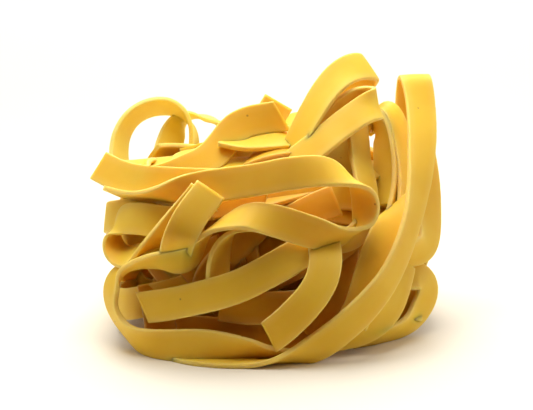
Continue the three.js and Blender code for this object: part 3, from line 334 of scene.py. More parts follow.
        (-21.4, 10.6, -18.4, 0.95, 0, 0.2), (-21, 7.2, -19.8, 0.95, 0, 0.2),
    ],
    "hook_back": [
        (22, 16.8, -5, 0, 1, 0.1), (27, 17.2, -2, 0, 1, 0.1), (30.6, 16.8, 2, 0, 1, 0.1),
        (31.6, 16.2, 8, 0, 1, 0.1),
    ],
    "inner_arch": [
        (18.8, 48.2, 3, 0.2, -0.5, 0.84), (20.6, 49.6, 1.6, 0.1, -0.5, 0.85),
        (22.2, 49.2, 0.2, -0.25, -0.42, 0.85), (23.3, 47, -1.4, -0.55, -0.2, 0.78),
        (23.8, 44, -3, -0.65, -0.05, 0.74), (24, 40.6, -4.8, -0.7, 0, 0.7),
        (23.8, 36.8, -6.8, -0.7, 0, 0.7), (23, 33, -9, -0.7, 0, 0.7),
    ],
    "step_band": [
        (-3.4, 42.4, -12, 0, 0.3, 0.95), (-0.4, 43.4, -13.4, 0, 0.3, 0.95),
        (2.6, 44.1, -12.8, 0, 0.3, 0.95), (5, 44.6, -9.6, 0, 0.3, 0.95),
    ],
    "eye_back": [
        (-5, 32.6, -18.6, -0.1, 0.95, 0.3), (1, 33.8, -19.4, -0.12, 0.95, 0.3),
        (7, 34.8, -18.8, -0.1, 0.95, 0.3), (12.6, 35.4, -16.8, -0.05, 0.95, 0.3),
        (17.6, 35.4, -13.6, 0, 0.95, 0.3),
    ],
    "loop_back": [
        (12.4, 49.6, -4.4, 0.9, -0.4, 0), (13.2, 45.6, -6, 0.93, -0.3, 0),
        (13.9, 41.6, -7.6, 0.96, -0.2, 0), (14.4, 37.6, -9.4, 0.97, -0.1, 0),
        (14.6, 33.2, -11.4, 0.98, 0, 0),
    ],
}

# Ends cut askew: how far the ribbon's edge on the side of its width direction stands ahead of its
# other edge, in millimetres, at its start and at its end.
ASKEW_CUTS = {
    "diagonal": (-2.4, 0),
    "hanging": (0, 1.4),
    "blob": (2.6, 0),
    "under_band": (0, 2.2),
    "right_fall": (-5.4, 0),
}
CUT_REACH = 7  # length of ribbon that such a cut shears

# Back ribbons, each a part of a long loop round the shell: the loop's middle as a bearing in
# degrees (90 is straight back) and a height, its half length in degrees, its half height, where
# on the loop it starts and ends in turns, how far it stands off the shell, and its width's lean.
BACK_LOOPS = [
    (90, 9, 75, 4.5, 0.05, 0.62, 0, 0.2),
    (75, 15, 60, 6, 0.42, 1.02, 0.6, 0.35),
    (110, 21, 62, 6.5, -0.08, 0.55, 1.2, 0.25),
    (140, 12, 40, 7, 0.3, 0.98, 1.8, 0.3),
    (55, 26, 50, 5, 0.02, 0.7, 0.4, 0.4),
    (100, 29, 66, 4, 0.5, 1, 0.2, 0.5),
    (30, 14, 34, 8, 0.2, 0.86, 1.4, 0.3),
    (165, 22, 32, 6, 0.1, 0.76, 0.8, 0.35),
    (90, 4.5, 84, 1.5, 0.02, 0.5, 0.2, 0.7),
    (80, 22, 30, 9, 0.6, 1.3, 2.4, 0.2),
    (120, 20, 38, 5, 0.05, 0.6, 1.6, 0.4),
    (45, 6.5, 44, 4, 0.55, 1.1, 1.6, 0.4),
    (138, 6, 36, 3.6, 0.5, 1.05, 1.2, 0.4),
    (24, 27, 26, 6, 0.6, 1.05, 1.2, 0.4),
    (180, 26, 30, 4, 0.05, 0.55, 0.6, 0.5),
]

# Ribbons coiled over the top and under the base: the centre of the coil, its radius, the height
# and bearing in degrees at its start and at its end, and its width's lean, 1 where it lies flat.
TOP_COILS = [
    (1, 2, 19, 27, -20, 33, 150, 0.75),
    (-3, 4, 13, 32, 60, 34, 300, 0.8),
    (-6, -2, 17, 30, 150, 28, 290, 0.7),
    (6, 6, 15, 31, -50, 30, 100, 0.7),
    (0, 1, 6.5, 34, 10, 35, 220, 0.85),
]
BASE_COILS = [
    (0, 0, 22.5, 0.5, -160, 0.5, 20, 1),
    (1.5, 0.5, 14.5, 0.5, 40, 0.5, 300, 1),
]

# How finely the ribbons are made, and how uneven they are.
STEPS = 24  # of a curve between two of its points
FRONT_SPACING = 0.6  # between cross-sections
BACK_SPACING = 0.8
WINDING_SPACING = 1.2
LEAST_SECTIONS = 6
LINE_SOFTNESS = 1  # reach over which the line is smoothed
WIDTH_SOFTNESS = 2.4  # and over which the width's direction is
CORNER_POINTS = 4
FACE_POINTS = (0.93, 0.5, 0, -0.5, -0.93)  # shares of the half width
WAVE_LENGTHS = (2.1, 5.3, 9.7)
CUP_LENGTH = 9
CUP_REST = 0.4  # share by which a cupped face is set back, so its middle stays put
UNEVEN_WIDTH = 0.015
UNEVEN_THICKNESS = 0.12
RAGGED_FALL = 6  # power by which raggedness fades away from a cut edge
MARK_FALL = 8  # power by which the cut edge's own colour does

WINDING_POINTS = 16
WINDING_TILT = np.array([0.45, 0.45, 1])  # spread of the windings' axes; 1 is upright
WINDING_OFFSET = 0.55  # farthest that a winding lies from the middle, as a share of the radius
WINDING_LENGTH = (1, 1.6)  # least and most, in half turns
WINDING_WAVES = 3
WINDING_WAVE = 0.12
WINDING_TWIST = (0.1, 0.7)
WINDING_LAYERS = (1.06, 0.95, 0.84, 0.7)  # shares of the core's radius
WINDINGS_EACH = 11
CORE_SHARE = 0.55
CORE_LUMP = 0.04
CORE_LUMPS = (9, 8)  # how close the lumps stand, across and front to back
CORE_ROUNDS = 4  # of splitting the ball's faces

# The look of the dough: the colours of its pieces, and how strongly each effect shows. The pale
# dough is painted light and the inner dough painted shade, paler and darker copies of one dough.
DOUGHS = {
    "egg_dough": ("light", "deep"),
    "pale_dough": ("pale", "painted_glow_deep"),
    "inner_dough": ("inner", "painted_shade_deep"),
}
GRAIN_SCALES = {"Patch Scale": 110, "Speck Scale": 330, "Grain Scale": 2600}
PATCH_RANGE = (0.36, 0.66)
PATCH_SHARE = 0.5
EDGE_SHARE = 0.4
SPECK_EDGE = (0.1, 0.05)  # distances at which a speck begins and is full
SPECK_CHOICE = 0.72  # share of the cells that have none
SPECK_SHARE = 0.7
ROUGHNESS = (0.5, 0.64)
BUMP_STRENGTH = 0.35
BUMP_DEPTH = 0.05
SPECULAR = 0.18
SCATTER_WEIGHT = 0.8
SCATTER_RADIUS = (1.0, 0.95, 0.4)
SCATTER_DEPTH = 1.3

# Front ribbons that stand free at the top, where light comes through them. Their dough is painted
# light: a paler, lit copy of the dough that stands in for that glow.
PAINTED_GLOW = {"ring", "ring_far", "loop_back"}

# Front ribbons that lie behind the others and show only between them. They take the darker inner
# dough, painted shade for the hollows they show in.
BEHIND = {
    "under_band", "eye_band", "brown_band", "lower_band", "behind_hanging",
    "lower_strut", "step_band", "eye_back",
}

# The stage. Each lamp is a round one: its size, its place, what it is aimed at and its tint.
TABLE_HALF = 1500
TABLE_NEAR = -64  # the table's near edge, just below the picture
TABLE_COLOUR = (0.88, 0.82, 0.69)
TABLE_ROUGHNESS = 0.6
MIDDLE = (0, 0, MIDDLE_HEIGHT)
WHITE = (1, 1, 1)
WARM = (1, 0.84, 0.6)
LAMPS = {
    "key": (160, (-20, -10, 220), MIDDLE, WHITE),
    "front": (120, (-20, -150, 210), MIDDLE, WARM),
    "far": (900, (0, 640, 620), (0, 640, 0), WHITE),
    "left": (300, (-360, 60, 170), MIDDLE, WHITE),
    "right": (300, (370, 60, 170), MIDDLE, WHITE),
}
SENSOR_WIDTH = 36
CLIP_RANGE = (10, 10000)


# ------------------------------------------------------------------ lines of the ribbons
def front_line(rows):
    """Points and width directions of a front ribbon, from its rows on the leaning plane."""
    rows = np.array(rows, float)
    depth = rows[:, 2]
    spread = 1 + depth / EYE_DISTANCE
    height = EYE_HEIGHT + (rows[:, 1] - EYE_HEIGHT) * spread
    points = PLANE_FOOT + np.outer(height, PLANE_UP) + np.outer(depth, PLANE_IN)
    points[:, 0] += rows[:, 0] * spread
    widths = np.outer(rows[:, 4], PLANE_UP) + np.outer(rows[:, 5], PLANE_IN)
    widths[:, 0] += rows[:, 3]
    return points, widths


def back_line(loop):
    """Points and width directions of a back ribbon on the shell."""
    bearing, height, half_length, half_height, start, end, stand_off, lean = loop
    turn = np.linspace(start, end, LOOP_POINTS) * 2 * math.pi
    around = np.radians(bearing + half_length * np.cos(turn))
    z = height + half_height * np.sin(turn)
    level = (z - SHELL_MIDDLE) / SHELL_HEIGHT
    narrowing = np.sqrt(np.maximum(1 - level**2, SHELL_NARROWEST))
    out = stand_off * np.sin(turn) - stand_off
    outward = np.stack([np.cos(around), np.sin(around)], axis=1)
    flat = SHELL_CENTRE + (np.outer(narrowing, SHELL_RADIUS) + out[:, None]) * outward
    points = np.column_stack([flat, z])
    widths = np.column_stack([-lean * outward, np.full(LOOP_POINTS, 1 - lean)])
    return points, widths


def coil_line(coil):
    """Points and width directions of a ribbon coiled about an upright axis."""
    x, y, radius, low, start, high, end, lean = coil
    around = np.radians(np.linspace(start, end, COIL_POINTS))
    outward = np.stack([np.cos(around), np.sin(around)], axis=1)
    flat = np.array([x, y]) + radius * outward
    points = np.column_stack([flat, np.linspace(low, high, COIL_POINTS)])
    widths = np.column_stack([-lean * outward, np.full(COIL_POINTS, 1 - lean)])
    return points, widths


def winding_line(draw, layer):
    """Points and width directions of an inner ribbon wound on an egg of the layer's size."""
    axis = draw.normal(size=3) * WINDING_TILT
    axis /= np.linalg.norm(axis)
    first = np.cross(axis, draw.normal(size=3))
    first /= np.linalg.norm(first)
    second = np.cross(axis, first)
    height = draw.uniform(-WINDING_OFFSET, WINDING_OFFSET)
    turn = np.linspace(0, draw.uniform(*WINDING_LENGTH) * math.pi, WINDING_POINTS)
    wobble = height + WINDING_WAVE * np.sin(WINDING_WAVES * turn + draw.uniform(0, 6))
    ring = np.outer(np.cos(turn), first) + np.outer(np.sin(turn), second)
    ball = np.sqrt(1 - wobble**2)[:, None] * ring + np.outer(wobble, axis)
    points = CORE_CENTRE + layer * CORE_RADIUS * ball
    widths = axis - draw.uniform(*WINDING_TWIST) * ball
    return points, widths


# ------------------------------------------------------------------ ribbons as meshes
def catmull_rom(values, power):
    """A curve through the values, STEPS to a stretch. Power 0.5 keeps it from overshooting."""
    v = np.vstack([2 * values[:1] - values[1:2], values, 2 * values[-1:] - values[-2:-1]])
    share = np.arange(STEPS)[:, None] / STEPS
    stretches = []
    for a, b, c, d in zip(v[:-3], v[1:-2], v[2:-1], v[3:]):
        pairs = ((a, b), (b, c), (c, d))
        ab, bc, cd = (max(np.linalg.norm(q - p) ** power, 1e-6) for p, q in pairs)
        start = (b - a) / ab - (c - a) / (ab + bc) + (c - b) / bc
        end = (c - b) / bc - (d - b) / (bc + cd) + (d - c) / cd
        start, end = start * bc, end * bc
        square = -3 * b + 3 * c - 2 * start - end
        cubic = 2 * b - 2 * c + start + end
        stretches.append(b + share * start + share**2 * square + share**3 * cubic)
    return np.vstack([*stretches, v[-2:-1]])


def resampled(points, others, spacing):
    """Points at even spacing along the line, and the other values there."""
    steps = np.linalg.norm(np.diff(points, axis=0), axis=1)
    along = np.concatenate([[0], np.cumsum(steps)])
    count = max(LEAST_SECTIONS, round(along[-1] / spacing))
    at = np.linspace(0, along[-1], count + 1)
    return [
        np.column_stack([np.interp(at, along, column) for column in table.T])
        for table in (points, others)
    ]


def softened(values, reach):
    """The values averaged over their neighbours within the reach, with both ends kept."""
    weights = np.exp(-0.5 * (np.arange(-2 * reach, 2 * reach + 1) / max(reach, 1)) ** 2)
    weights /= weights.sum()
    pad = min(2 * reach, len(values) - 1)
    before = 2 * values[0] - values[pad:0:-1]
    after = 2 * values[-1] - values[-2 : -pad - 2 : -1]
    padded = np.vstack([before, values, after])
    core = weights[2 * reach - pad : 2 * reach + pad + 1]
    core = core / core.sum()
    return np.column_stack([np.convolve(column, core, "valid") for column in padded.T])


def sections(line, spacing):
    """Centres, width directions and through directions of the cross-sections of a ribbon."""
    points, widths = line
    centres, across = resampled(catmull_rom(points, 0.5), catmull_rom(widths, 0), spacing)
    centres = softened(centres, round(LINE_SOFTNESS / spacing))
    across = softened(across, round(WIDTH_SOFTNESS / spacing))
    tangent = np.gradient(centres, axis=0)
    tangent /= np.linalg.norm(tangent, axis=1, keepdims=True)
    across -= np.sum(across * tangent, axis=1, keepdims=True) * tangent
    across /= np.linalg.norm(across, axis=1, keepdims=True)
    return centres, across, np.cross(tangent, across), tangent


def section_outline(width, thickness, rounding):
    """Side and face offsets round the edge of a cross-section, counterclockwise."""
    half, low = width / 2 - rounding, thickness / 2 - rounding
    corners = [(half, -low, -90), (half, low, 0), (-half, low, 90), (-half, -low, 180)]
    outline = []
    for x, y, start in corners:
        for i in range(CORNER_POINTS):
            turn = math.radians(start + 90 * i / (CORNER_POINTS - 1))
            outline.append((x + rounding * math.cos(turn), y + rounding * math.sin(turn)))
        face = -1 if start == 180 else 1
        if start in (0, 180):
            for share in FACE_POINTS:
                outline.append((face * share * half, face * thickness / 2))
    return np.array(outline)


def ribbon_mesh(line, sizes, draw, spacing, cuts=(0, 0)):
    """Corner points, faces and edge marks of one ribbon, uneven as dried dough is."""
    centres, across, through, tangent = sections(line, spacing)
    order = np.arange(len(centres)) * spacing / CUT_REACH
    askew = cuts[0] * np.maximum(1 - order, 0) + cuts[1] * np.maximum(1 - order[::-1], 0)
    across = across + askew[:, None] / (sizes.width / MM) * tangent
    outline = section_outline(sizes.width / MM, sizes.thickness / MM, sizes.rounding / MM)
    count, ring = len(centres), len(outline)
    along = np.linspace(0, 1, count) * count * spacing
    wave = sum(
        np.sin(along / length + draw.uniform(0, 2 * math.pi)) for length in WAVE_LENGTHS
    ) / len(WAVE_LENGTHS)
    cup = sizes.cupping / MM * np.sin(along / CUP_LENGTH + draw.uniform(0, 2 * math.pi))
    side, face = outline[:, 0], outline[:, 1]
    reach = 2 * side / (sizes.width / MM)
    ragged = sizes.raggedness / MM * draw.normal(size=(count, 2))
    edge = np.where(side > 0, ragged[:, :1], ragged[:, 1:]) * np.abs(reach) ** RAGGED_FALL
    sideways = side * (1 + UNEVEN_WIDTH * wave[:, None]) + edge
    bow = cup[:, None] * (reach**2 - CUP_REST)
    outwards = face * (1 - UNEVEN_THICKNESS * wave[:, None] ** 2) + bow
    points = (
        centres[:, None]
        + sideways[..., None] * across[:, None]
        + outwards[..., None] * through[:, None]
    ).reshape(-1, 3)
    starts = np.arange(count - 1)[:, None] * ring
    here = np.arange(ring)
    there = (here + 1) % ring
    quads = np.stack(
        [starts + here, starts + there, starts + ring + there, starts + ring + here], axis=-1
    ).reshape(-1, 4)
    caps = [list(range(ring))[::-1], [(count - 1) * ring + i for i in range(ring)]]
    marks = np.tile(np.abs(reach) ** MARK_FALL, count)
    return points, quads.tolist(), caps, marks


def joined(ribbons):
    """One set of points, faces, caps and edge marks from several ribbons."""
    points, quads, caps, marks, first = [], [], [], [], 0
    for corner_points, faces, ends, edge_marks in ribbons:
        points.append(corner_points)
        quads += [[first + i for i in face] for face in faces]
        caps += [[first + i for i in face] for face in ends]
        marks.append(edge_marks)
        first += len(corner_points)
    return np.vstack(points), quads, caps, np.concatenate(marks)


def kept_inside(points):
    """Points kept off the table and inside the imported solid's box."""
    return np.clip(points, LOWEST, HIGHEST)


def ribbon_piece(name, lines, sizes, draw, spacing, dough, cuts=None):
    """One joined mesh of ribbons, all of one dough."""
    cuts = cuts or [(0, 0)] * len(lines)
    ribbons = [ribbon_mesh(line, sizes, draw, spacing, cut) for line, cut in zip(lines, cuts)]
    points, quads, caps, marks = joined(ribbons)
    mesh = bpy.data.meshes.new(name)
    mesh.from_pydata((kept_inside(points) * MM).tolist(), [], quads + caps)
    mesh.polygons.foreach_set("use_smooth", [True] * len(quads) + [False] * len(caps))
    cut_edge = mesh.attributes.new("cut_edge", "FLOAT", "POINT")
    cut_edge.data.foreach_set("value", marks.astype(np.float32))
    mesh.update()
    finished_piece(mesh, dough)


def finished_piece(mesh, dough):
    """A piece of the mesh that rides on the nest's body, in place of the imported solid."""
    piece = bpy.data.objects.new(mesh.name, mesh)
    bpy.context.scene.collection.objects.link(piece)
    mesh.materials.append(dough_material(dough))
    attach(piece, "root")
    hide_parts(NODE)


# ------------------------------------------------------------------ materials
def new_node(tree, kind, **settings):
    """A node with its settings, and its input values where a name isn't a setting of the node."""
    made = tree.nodes.new(kind)
    for name, value in settings.items():
        if hasattr(made, name):
            setattr(made, name, value)
        else:
            made.inputs[name.replace("_", " ")].default_value = value
    return made


def grain_group():
    """Dull patches, bran specks and the fine grain of rolled dough, as masks and a height."""
    found = bpy.data.node_groups.get("rolled_dough")
    if found:
        return found
    group = bpy.data.node_groups.new("rolled_dough", "ShaderNodeTree")
    for name, default in GRAIN_SCALES.items():
        socket = group.interface.new_socket(name, in_out="INPUT", socket_type="NodeSocketFloat")
        socket.default_value = default
    for name in ("Patches", "Specks", "Height"):
        group.interface.new_socket(name, in_out="OUTPUT", socket_type="NodeSocketFloat")
    link = group.links.new
    entry = new_node(group, "NodeGroupInput")
    leave = new_node(group, "NodeGroupOutput")
    place = new_node(group, "ShaderNodeTexCoord").outputs["Object"]

    patches = new_node(group, "ShaderNodeTexNoise", Detail=3)
    low, high = PATCH_RANGE
    spread = new_node(group, "ShaderNodeMapRange", From_Min=low, From_Max=high)
    link(place, patches.inputs["Vector"])
    link(entry.outputs["Patch Scale"], patches.inputs["Scale"])
    link(patches.outputs["Fac"], spread.inputs["Value"])
    link(spread.outputs["Result"], leave.inputs["Patches"])

    cells = new_node(group, "ShaderNodeTexVoronoi")
    begins, full = SPECK_EDGE
    near = new_node(group, "ShaderNodeMapRange", From_Min=begins, From_Max=full)
    chosen = new_node(group, "ShaderNodeMath", operation="GREATER_THAN")
    chosen.inputs[1].default_value = SPECK_CHOICE
    both = new_node(group, "ShaderNodeMath", operation="MULTIPLY")
    link(place, cells.inputs["Vector"])
    link(entry.outputs["Speck Scale"], cells.inputs["Scale"])
    link(cells.outputs["Distance"], near.inputs["Value"])
    link(cells.outputs["Color"], chosen.inputs[0])
    link(near.outputs["Result"], both.inputs[0])
    link(chosen.outputs["Value"], both.inputs[1])
    link(both.outputs["Value"], leave.inputs["Specks"])

    grain = new_node(group, "ShaderNodeTexNoise", Detail=4, Roughness=0.6)
    link(place, grain.inputs["Vector"])
    link(entry.outputs["Grain Scale"], grain.inputs["Scale"])
    link(grain.outputs["Fac"], leave.inputs["Height"])
    return group


def colour_mix(tree, amount, first, second):
    """A colour mix whose amount is a socket and whose colours are sockets or plain colours."""
    mix = tree.nodes.new("ShaderNodeMix")
    mix.data_type = "RGBA"
    tree.links.new(amount, mix.inputs["Factor"])
    for name, value in (("A", first), ("B", second)):
        socket = next(s for s in mix.inputs if s.name == name and s.type == "RGBA")
        if isinstance(value, bpy.types.NodeSocket):
            tree.links.new(value, socket)
        else:
            socket.default_value = (*value, 1)
    return next(s for s in mix.outputs if s.type == "RGBA")


def scaled(tree, value, factor):
    """A mask times a plain number."""
    product = new_node(tree, "ShaderNodeMath", operation="MULTIPLY")
    tree.links.new(value, product.inputs[0])
    product.inputs[1].default_value = factor
    return product.outputs["Value"]


def dough_material(name):
    """Dry egg dough: dull, slightly see-through, with pale cut edges and bran specks."""
    found = bpy.data.materials.get(name)
    if found:
        return found
    colours = bpy.context.scene.pasta_colours
    light, deep = (getattr(colours, shade) for shade in DOUGHS[name])
    material = bpy.data.materials.new(name)
    material.use_nodes = True
    tree = material.node_tree
    shader = tree.nodes["Principled BSDF"]
    grain = new_node(tree, "ShaderNodeGroup", node_tree=grain_group())
    edge = new_node(tree, "ShaderNodeAttribute", attribute_name="cut_edge")
    body = colour_mix(tree, scaled(tree, grain.outputs["Patches"], PATCH_SHARE), light, deep)
    edged = colour_mix(tree, scaled(tree, edge.outputs["Fac"], EDGE_SHARE), body, colours.edge)
    specked = colour_mix(
        tree, scaled(tree, grain.outputs["Specks"], SPECK_SHARE), edged, colours.speck
    )
    tree.links.new(specked, shader.inputs["Base Color"])
    dull = new_node(tree, "ShaderNodeMapRange", To_Min=ROUGHNESS[0], To_Max=ROUGHNESS[1])
    tree.links.new(grain.outputs["Patches"], dull.inputs["Value"])
    tree.links.new(dull.outputs["Result"], shader.inputs["Roughness"])
    bump = new_node(tree, "ShaderNodeBump", Strength=BUMP_STRENGTH, Distance=BUMP_DEPTH * MM)
    tree.links.new(grain.outputs["Height"], bump.inputs["Height"])
    tree.links.new(bump.outputs["Normal"], shader.inputs["Normal"])
    shader.inputs["Specular IOR Level"].default_value = SPECULAR
    shader.inputs["Subsurface Weight"].default_value = SCATTER_WEIGHT
    shader.inputs["Subsurface Radius"].default_value = SCATTER_RADIUS
    shader.inputs["Subsurface Scale"].default_value = SCATTER_DEPTH * MM
    return material


def plain_material(name, colour, roughness):
    """A plain dull material for the stage."""
    material = bpy.data.materials.new(name)
    material.use_nodes = True
    shader = material.node_tree.nodes["Principled BSDF"]
    shader.inputs["Base Color"].default_value = (*colour, 1)
    shader.inputs["Roughness"].default_value = roughness
    return material


# ------------------------------------------------------------------ settings
class PastaSizes(bpy.types.PropertyGroup):
    """Sizes of the ribbons."""

    width: bpy.props.FloatProperty(
        name="Width", description="Width of a ribbon", default=6.2 * MM, min=0, unit="LENGTH"
    )
    thickness: bpy.props.FloatProperty(
        name="Thickness", description="Thickness of a ribbon", default=1.02 * MM, min=0,
        unit="LENGTH",
    )
    rounding: bpy.props.FloatProperty(
        name="Rounding", description="Radius of the cut corners", default=0.26 * MM, unit="LENGTH"
    )
    cupping: bpy.props.FloatProperty(
        name="Cupping", description="How far the faces bow", default=0.1 * MM, unit="LENGTH"
    )
    raggedness: bpy.props.FloatProperty(
        name="Raggedness", description="Unevenness of the cut edges", default=0.012 * MM,
        unit="LENGTH",
    )
    seed: bpy.props.IntProperty(
        name="Seed", description="Start of the draws of the inner windings", default=11
    )


class PastaColours(bpy.types.PropertyGroup):
    """Colours of the dough."""

    light: bpy.props.FloatVectorProperty(
        name="Light", description="Outer dough", subtype="COLOR", default=(0.86, 0.555, 0.05)
    )
    deep: bpy.props.FloatVectorProperty(
        name="Deep", description="Darker patches", subtype="COLOR", default=(0.80, 0.46, 0.028)
    )
    # Painted light: the paler colours of the free loops at the top stand in for the light that
    # comes through them.
    pale: bpy.props.FloatVectorProperty(
        name="Pale", description="Loops that stand free at the top", subtype="COLOR",
        default=(0.88, 0.72, 0.14),
    )
    painted_glow_deep: bpy.props.FloatVectorProperty(
        name="Pale Deep", description="Darker patches of the free loops", subtype="COLOR",
        default=(0.84, 0.64, 0.09),
    )
    # Painted shade: the darker, redder colours of the inner windings, the core and the ribbons
    # behind the others stand in for the shade deep inside the nest.
    inner: bpy.props.FloatVectorProperty(
        name="Inner", description="Inner windings", subtype="COLOR", default=(0.76, 0.38, 0.016)
    )
    painted_shade_deep: bpy.props.FloatVectorProperty(
        name="Inner Deep", description="Darker patches of the inner windings", subtype="COLOR",
        default=(0.68, 0.29, 0.01),
    )
    edge: bpy.props.FloatVectorProperty(
        name="Edge", description="Cut edges", subtype="COLOR", default=(0.90, 0.71, 0.32)
    )
    speck: bpy.props.FloatVectorProperty(
        name="Speck", description="Bran specks", subtype="COLOR", default=(0.35, 0.16, 0.03)
    )


class PastaLight(bpy.types.PropertyGroup):
    """Light of the stage."""

    key: bpy.props.FloatProperty(
        name="Key light", description="Power of the overhead light", default=0.43, unit="POWER"
    )
    front: bpy.props.FloatProperty(
        name="Front light", description="Power of the light over the front", default=0.055,
        unit="POWER",
    )
    far: bpy.props.FloatProperty(
        name="Far light", description="Power of the light over the far table", default=9,
        unit="POWER",
    )
    left: bpy.props.FloatProperty(
        name="Left light", description="Power of the light at the left", default=0.35, unit="POWER"
    )
    right: bpy.props.FloatProperty(
        name="Right light", description="Power of the light at the right", default=0.6, unit="POWER"
    )
    sky: bpy.props.FloatProperty(
        name="Surroundings", description="Brightness of the white surroundings", default=0.06,
        min=0,
    )


# ------------------------------------------------------------------ operators
class PASTA_OT_front_ribbons(bpy.types.Operator):
    """Ribbons that show from the front, each along its own points"""

    bl_idname = "pasta.front_ribbons"
    bl_label = "Front Ribbons"

    def execute(self, context):
        sizes = context.scene.pasta_sizes
        draw = np.random.default_rng(sizes.seed)
        facing = [name for name in STRANDS if name not in BEHIND | PAINTED_GLOW]
        for piece, names, dough in (
            ("front_ribbons", facing, "egg_dough"),
            # The ribbons behind the others get painted shade, the darker inner dough.
            ("behind_ribbons", sorted(BEHIND), "inner_dough"),
            # The free loops at the top get painted light, a paler copy of the dough.
            ("thin_ribbons", sorted(PAINTED_GLOW), "pale_dough"),
        ):
            lines = [front_line(STRANDS[name]) for name in names]
            cuts = [ASKEW_CUTS.get(name, (0, 0)) for name in names]
            ribbon_piece(piece, lines, sizes, draw, FRONT_SPACING, dough, cuts)
        return {"FINISHED"}


class PASTA_OT_back_ribbons(bpy.types.Operator):
    """Long loops round the back and the sides"""

    bl_idname = "pasta.back_ribbons"
    bl_label = "Back Ribbons"

    def execute(self, context):
        sizes = context.scene.pasta_sizes
        draw = np.random.default_rng(sizes.seed + 1)
        lines = [back_line(loop) for loop in BACK_LOOPS]
        ribbon_piece("back_ribbons", lines, sizes, draw, BACK_SPACING, "egg_dough")
        return {"FINISHED"}


class PASTA_OT_coiled_ribbons(bpy.types.Operator):
    """Ribbons coiled over the top and flat under the base"""

    bl_idname = "pasta.coiled_ribbons"
    bl_label = "Coiled Ribbons"

    def execute(self, context):
        sizes = context.scene.pasta_sizes
        draw = np.random.default_rng(sizes.seed + 2)
        for name, coils in (("top_coils", TOP_COILS), ("base_coils", BASE_COILS)):
            lines = [coil_line(coil) for coil in coils]
            ribbon_piece(name, lines, sizes, draw, BACK_SPACING, "egg_dough")
        return {"FINISHED"}


class PASTA_OT_inner_windings(bpy.types.Operator):
    """Ribbons wound inside the nest, seen through the gaps between the outer ones"""

    bl_idname = "pasta.inner_windings"
    bl_label = "Inner Windings"

    def execute(self, context):
        sizes = context.scene.pasta_sizes
        draw = np.random.default_rng(sizes.seed + 3)
        layers = [layer for layer in WINDING_LAYERS for _ in range(WINDINGS_EACH)]
        lines = [winding_line(draw, layer) for layer in layers]
        # The inner windings get painted shade, the darker inner dough.
        ribbon_piece("inner_windings", lines, sizes, draw, WINDING_SPACING, "inner_dough")
        return {"FINISHED"}


class PASTA_OT_core(bpy.types.Operator):
    """Small lump in the middle that the windings stand on"""

    bl_idname = "pasta.core"
    bl_label = "Core"

    def execute(self, context):
        mesh = bpy.data.meshes.new("core")
        shape = bmesh.new()
        bmesh.ops.create_icosphere(shape, subdivisions=CORE_ROUNDS, radius=1)
        for vertex in shape.verts:
            across, inward = (rate * place for rate, place in zip(CORE_LUMPS, vertex.co))
            lump = 1 + CORE_LUMP * math.sin(across) * math.cos(inward)
            place = CORE_CENTRE + CORE_SHARE * lump * CORE_RADIUS * np.array(vertex.co)
            vertex.co = Vector(place * MM)
        shape.to_mesh(mesh)
        shape.free()
        mesh.polygons.foreach_set("use_smooth", [True] * len(mesh.polygons))
        # The core gets painted shade, the darker inner dough.
        finished_piece(mesh, "inner_dough")
        return {"FINISHED"}


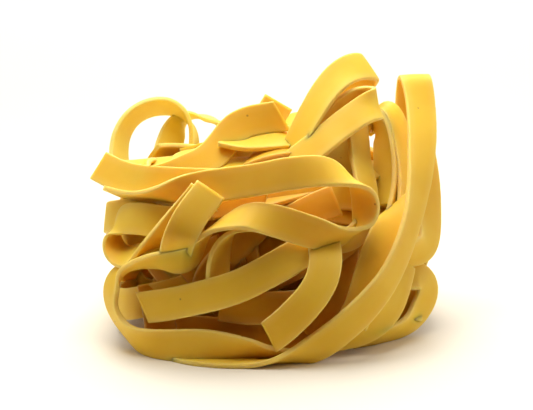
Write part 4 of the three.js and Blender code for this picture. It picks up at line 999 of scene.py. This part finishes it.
class PASTA_OT_stage(bpy.types.Operator):
    """Pale table, white surroundings, soft lights and the camera"""

    bl_idname = "pasta.stage"
    bl_label = "Stage"

    def execute(self, context):
        scene = context.scene
        half, near = TABLE_HALF * MM, TABLE_NEAR * MM
        mesh = bpy.data.meshes.new("table")
        corners = [(-half, near, 0), (half, near, 0), (half, half, 0), (-half, half, 0)]
        mesh.from_pydata(corners, [], [(0, 1, 2, 3)])
        table = bpy.data.objects.new("table", mesh)
        mesh.materials.append(plain_material("table_top", TABLE_COLOUR, TABLE_ROUGHNESS))
        scene.collection.objects.link(table)

        for name, (size, place, aim, tint) in LAMPS.items():
            lamp = bpy.data.lights.new(name, "AREA")
            lamp.shape = "DISK"
            lamp.size = size * MM
            lamp.energy = getattr(scene.pasta_light, name)
            lamp.color = tint
            stand = bpy.data.objects.new(name, lamp)
            stand.location = Vector(place) * MM
            way = Vector(aim) - Vector(place)
            stand.rotation_euler = way.to_track_quat("-Z", "Y").to_euler()
            scene.collection.objects.link(stand)

        world = bpy.data.worlds.new("white_surroundings")
        world.use_nodes = True
        tree = world.node_tree
        sky = tree.nodes["Background"]
        sky.inputs["Color"].default_value = (*WHITE, 1)
        sight = new_node(tree, "ShaderNodeLightPath")
        strength = new_node(tree, "ShaderNodeMapRange", To_Min=scene.pasta_light.sky)
        tree.links.new(sight.outputs["Is Camera Ray"], strength.inputs["Value"])
        tree.links.new(strength.outputs["Result"], sky.inputs["Strength"])
        scene.world = world
        scene.view_settings.view_transform = "Standard"

        camera = bpy.data.objects.new("camera", bpy.data.cameras.new("camera"))
        eye = PLANE_FOOT + EYE_HEIGHT * PLANE_UP - EYE_DISTANCE * PLANE_IN
        camera.location = Vector(eye) * MM
        camera.rotation_euler = Vector(PLANE_IN).to_track_quat("-Z", "Y").to_euler()
        camera.data.sensor_width = SENSOR_WIDTH
        camera.data.lens = SENSOR_WIDTH * EYE_DISTANCE / VIEW_WIDTH
        camera.data.clip_start, camera.data.clip_end = (reach * MM for reach in CLIP_RANGE)
        scene.collection.objects.link(camera)
        scene.camera = camera
        return {"FINISHED"}


class PASTA_PT_nest(bpy.types.Panel):
    """Settings and steps of the nest"""

    bl_idname = "PASTA_PT_nest"
    bl_label = "Tagliatelle Nest"
    bl_space_type = "VIEW_3D"
    bl_region_type = "UI"
    bl_category = "Pasta"

    def draw(self, context):
        scene = context.scene
        for settings in (scene.pasta_sizes, scene.pasta_colours, scene.pasta_light):
            box = self.layout.box()
            for name in settings.__annotations__:
                box.prop(settings, name)
        for step in STEPS_IN_ORDER:
            self.layout.operator(step.bl_idname)


STEPS_IN_ORDER = (
    PASTA_OT_front_ribbons,
    PASTA_OT_back_ribbons,
    PASTA_OT_coiled_ribbons,
    PASTA_OT_inner_windings,
    PASTA_OT_core,
    PASTA_OT_stage,
)
SETTINGS = {"pasta_sizes": PastaSizes, "pasta_colours": PastaColours, "pasta_light": PastaLight}


def register():
    for made in (*SETTINGS.values(), *STEPS_IN_ORDER, PASTA_PT_nest):
        bpy.utils.register_class(made)
    for name, kind in SETTINGS.items():
        setattr(bpy.types.Scene, name, bpy.props.PointerProperty(type=kind))


def unregister():
    for name in SETTINGS:
        delattr(bpy.types.Scene, name)
    for made in reversed((*SETTINGS.values(), *STEPS_IN_ORDER, PASTA_PT_nest)):
        bpy.utils.unregister_class(made)


def main():
    register()
    for step in STEPS_IN_ORDER:
        group, name = step.bl_idname.split(".")
        getattr(getattr(bpy.ops, group), name)()


if __name__ == "__main__":
    main()
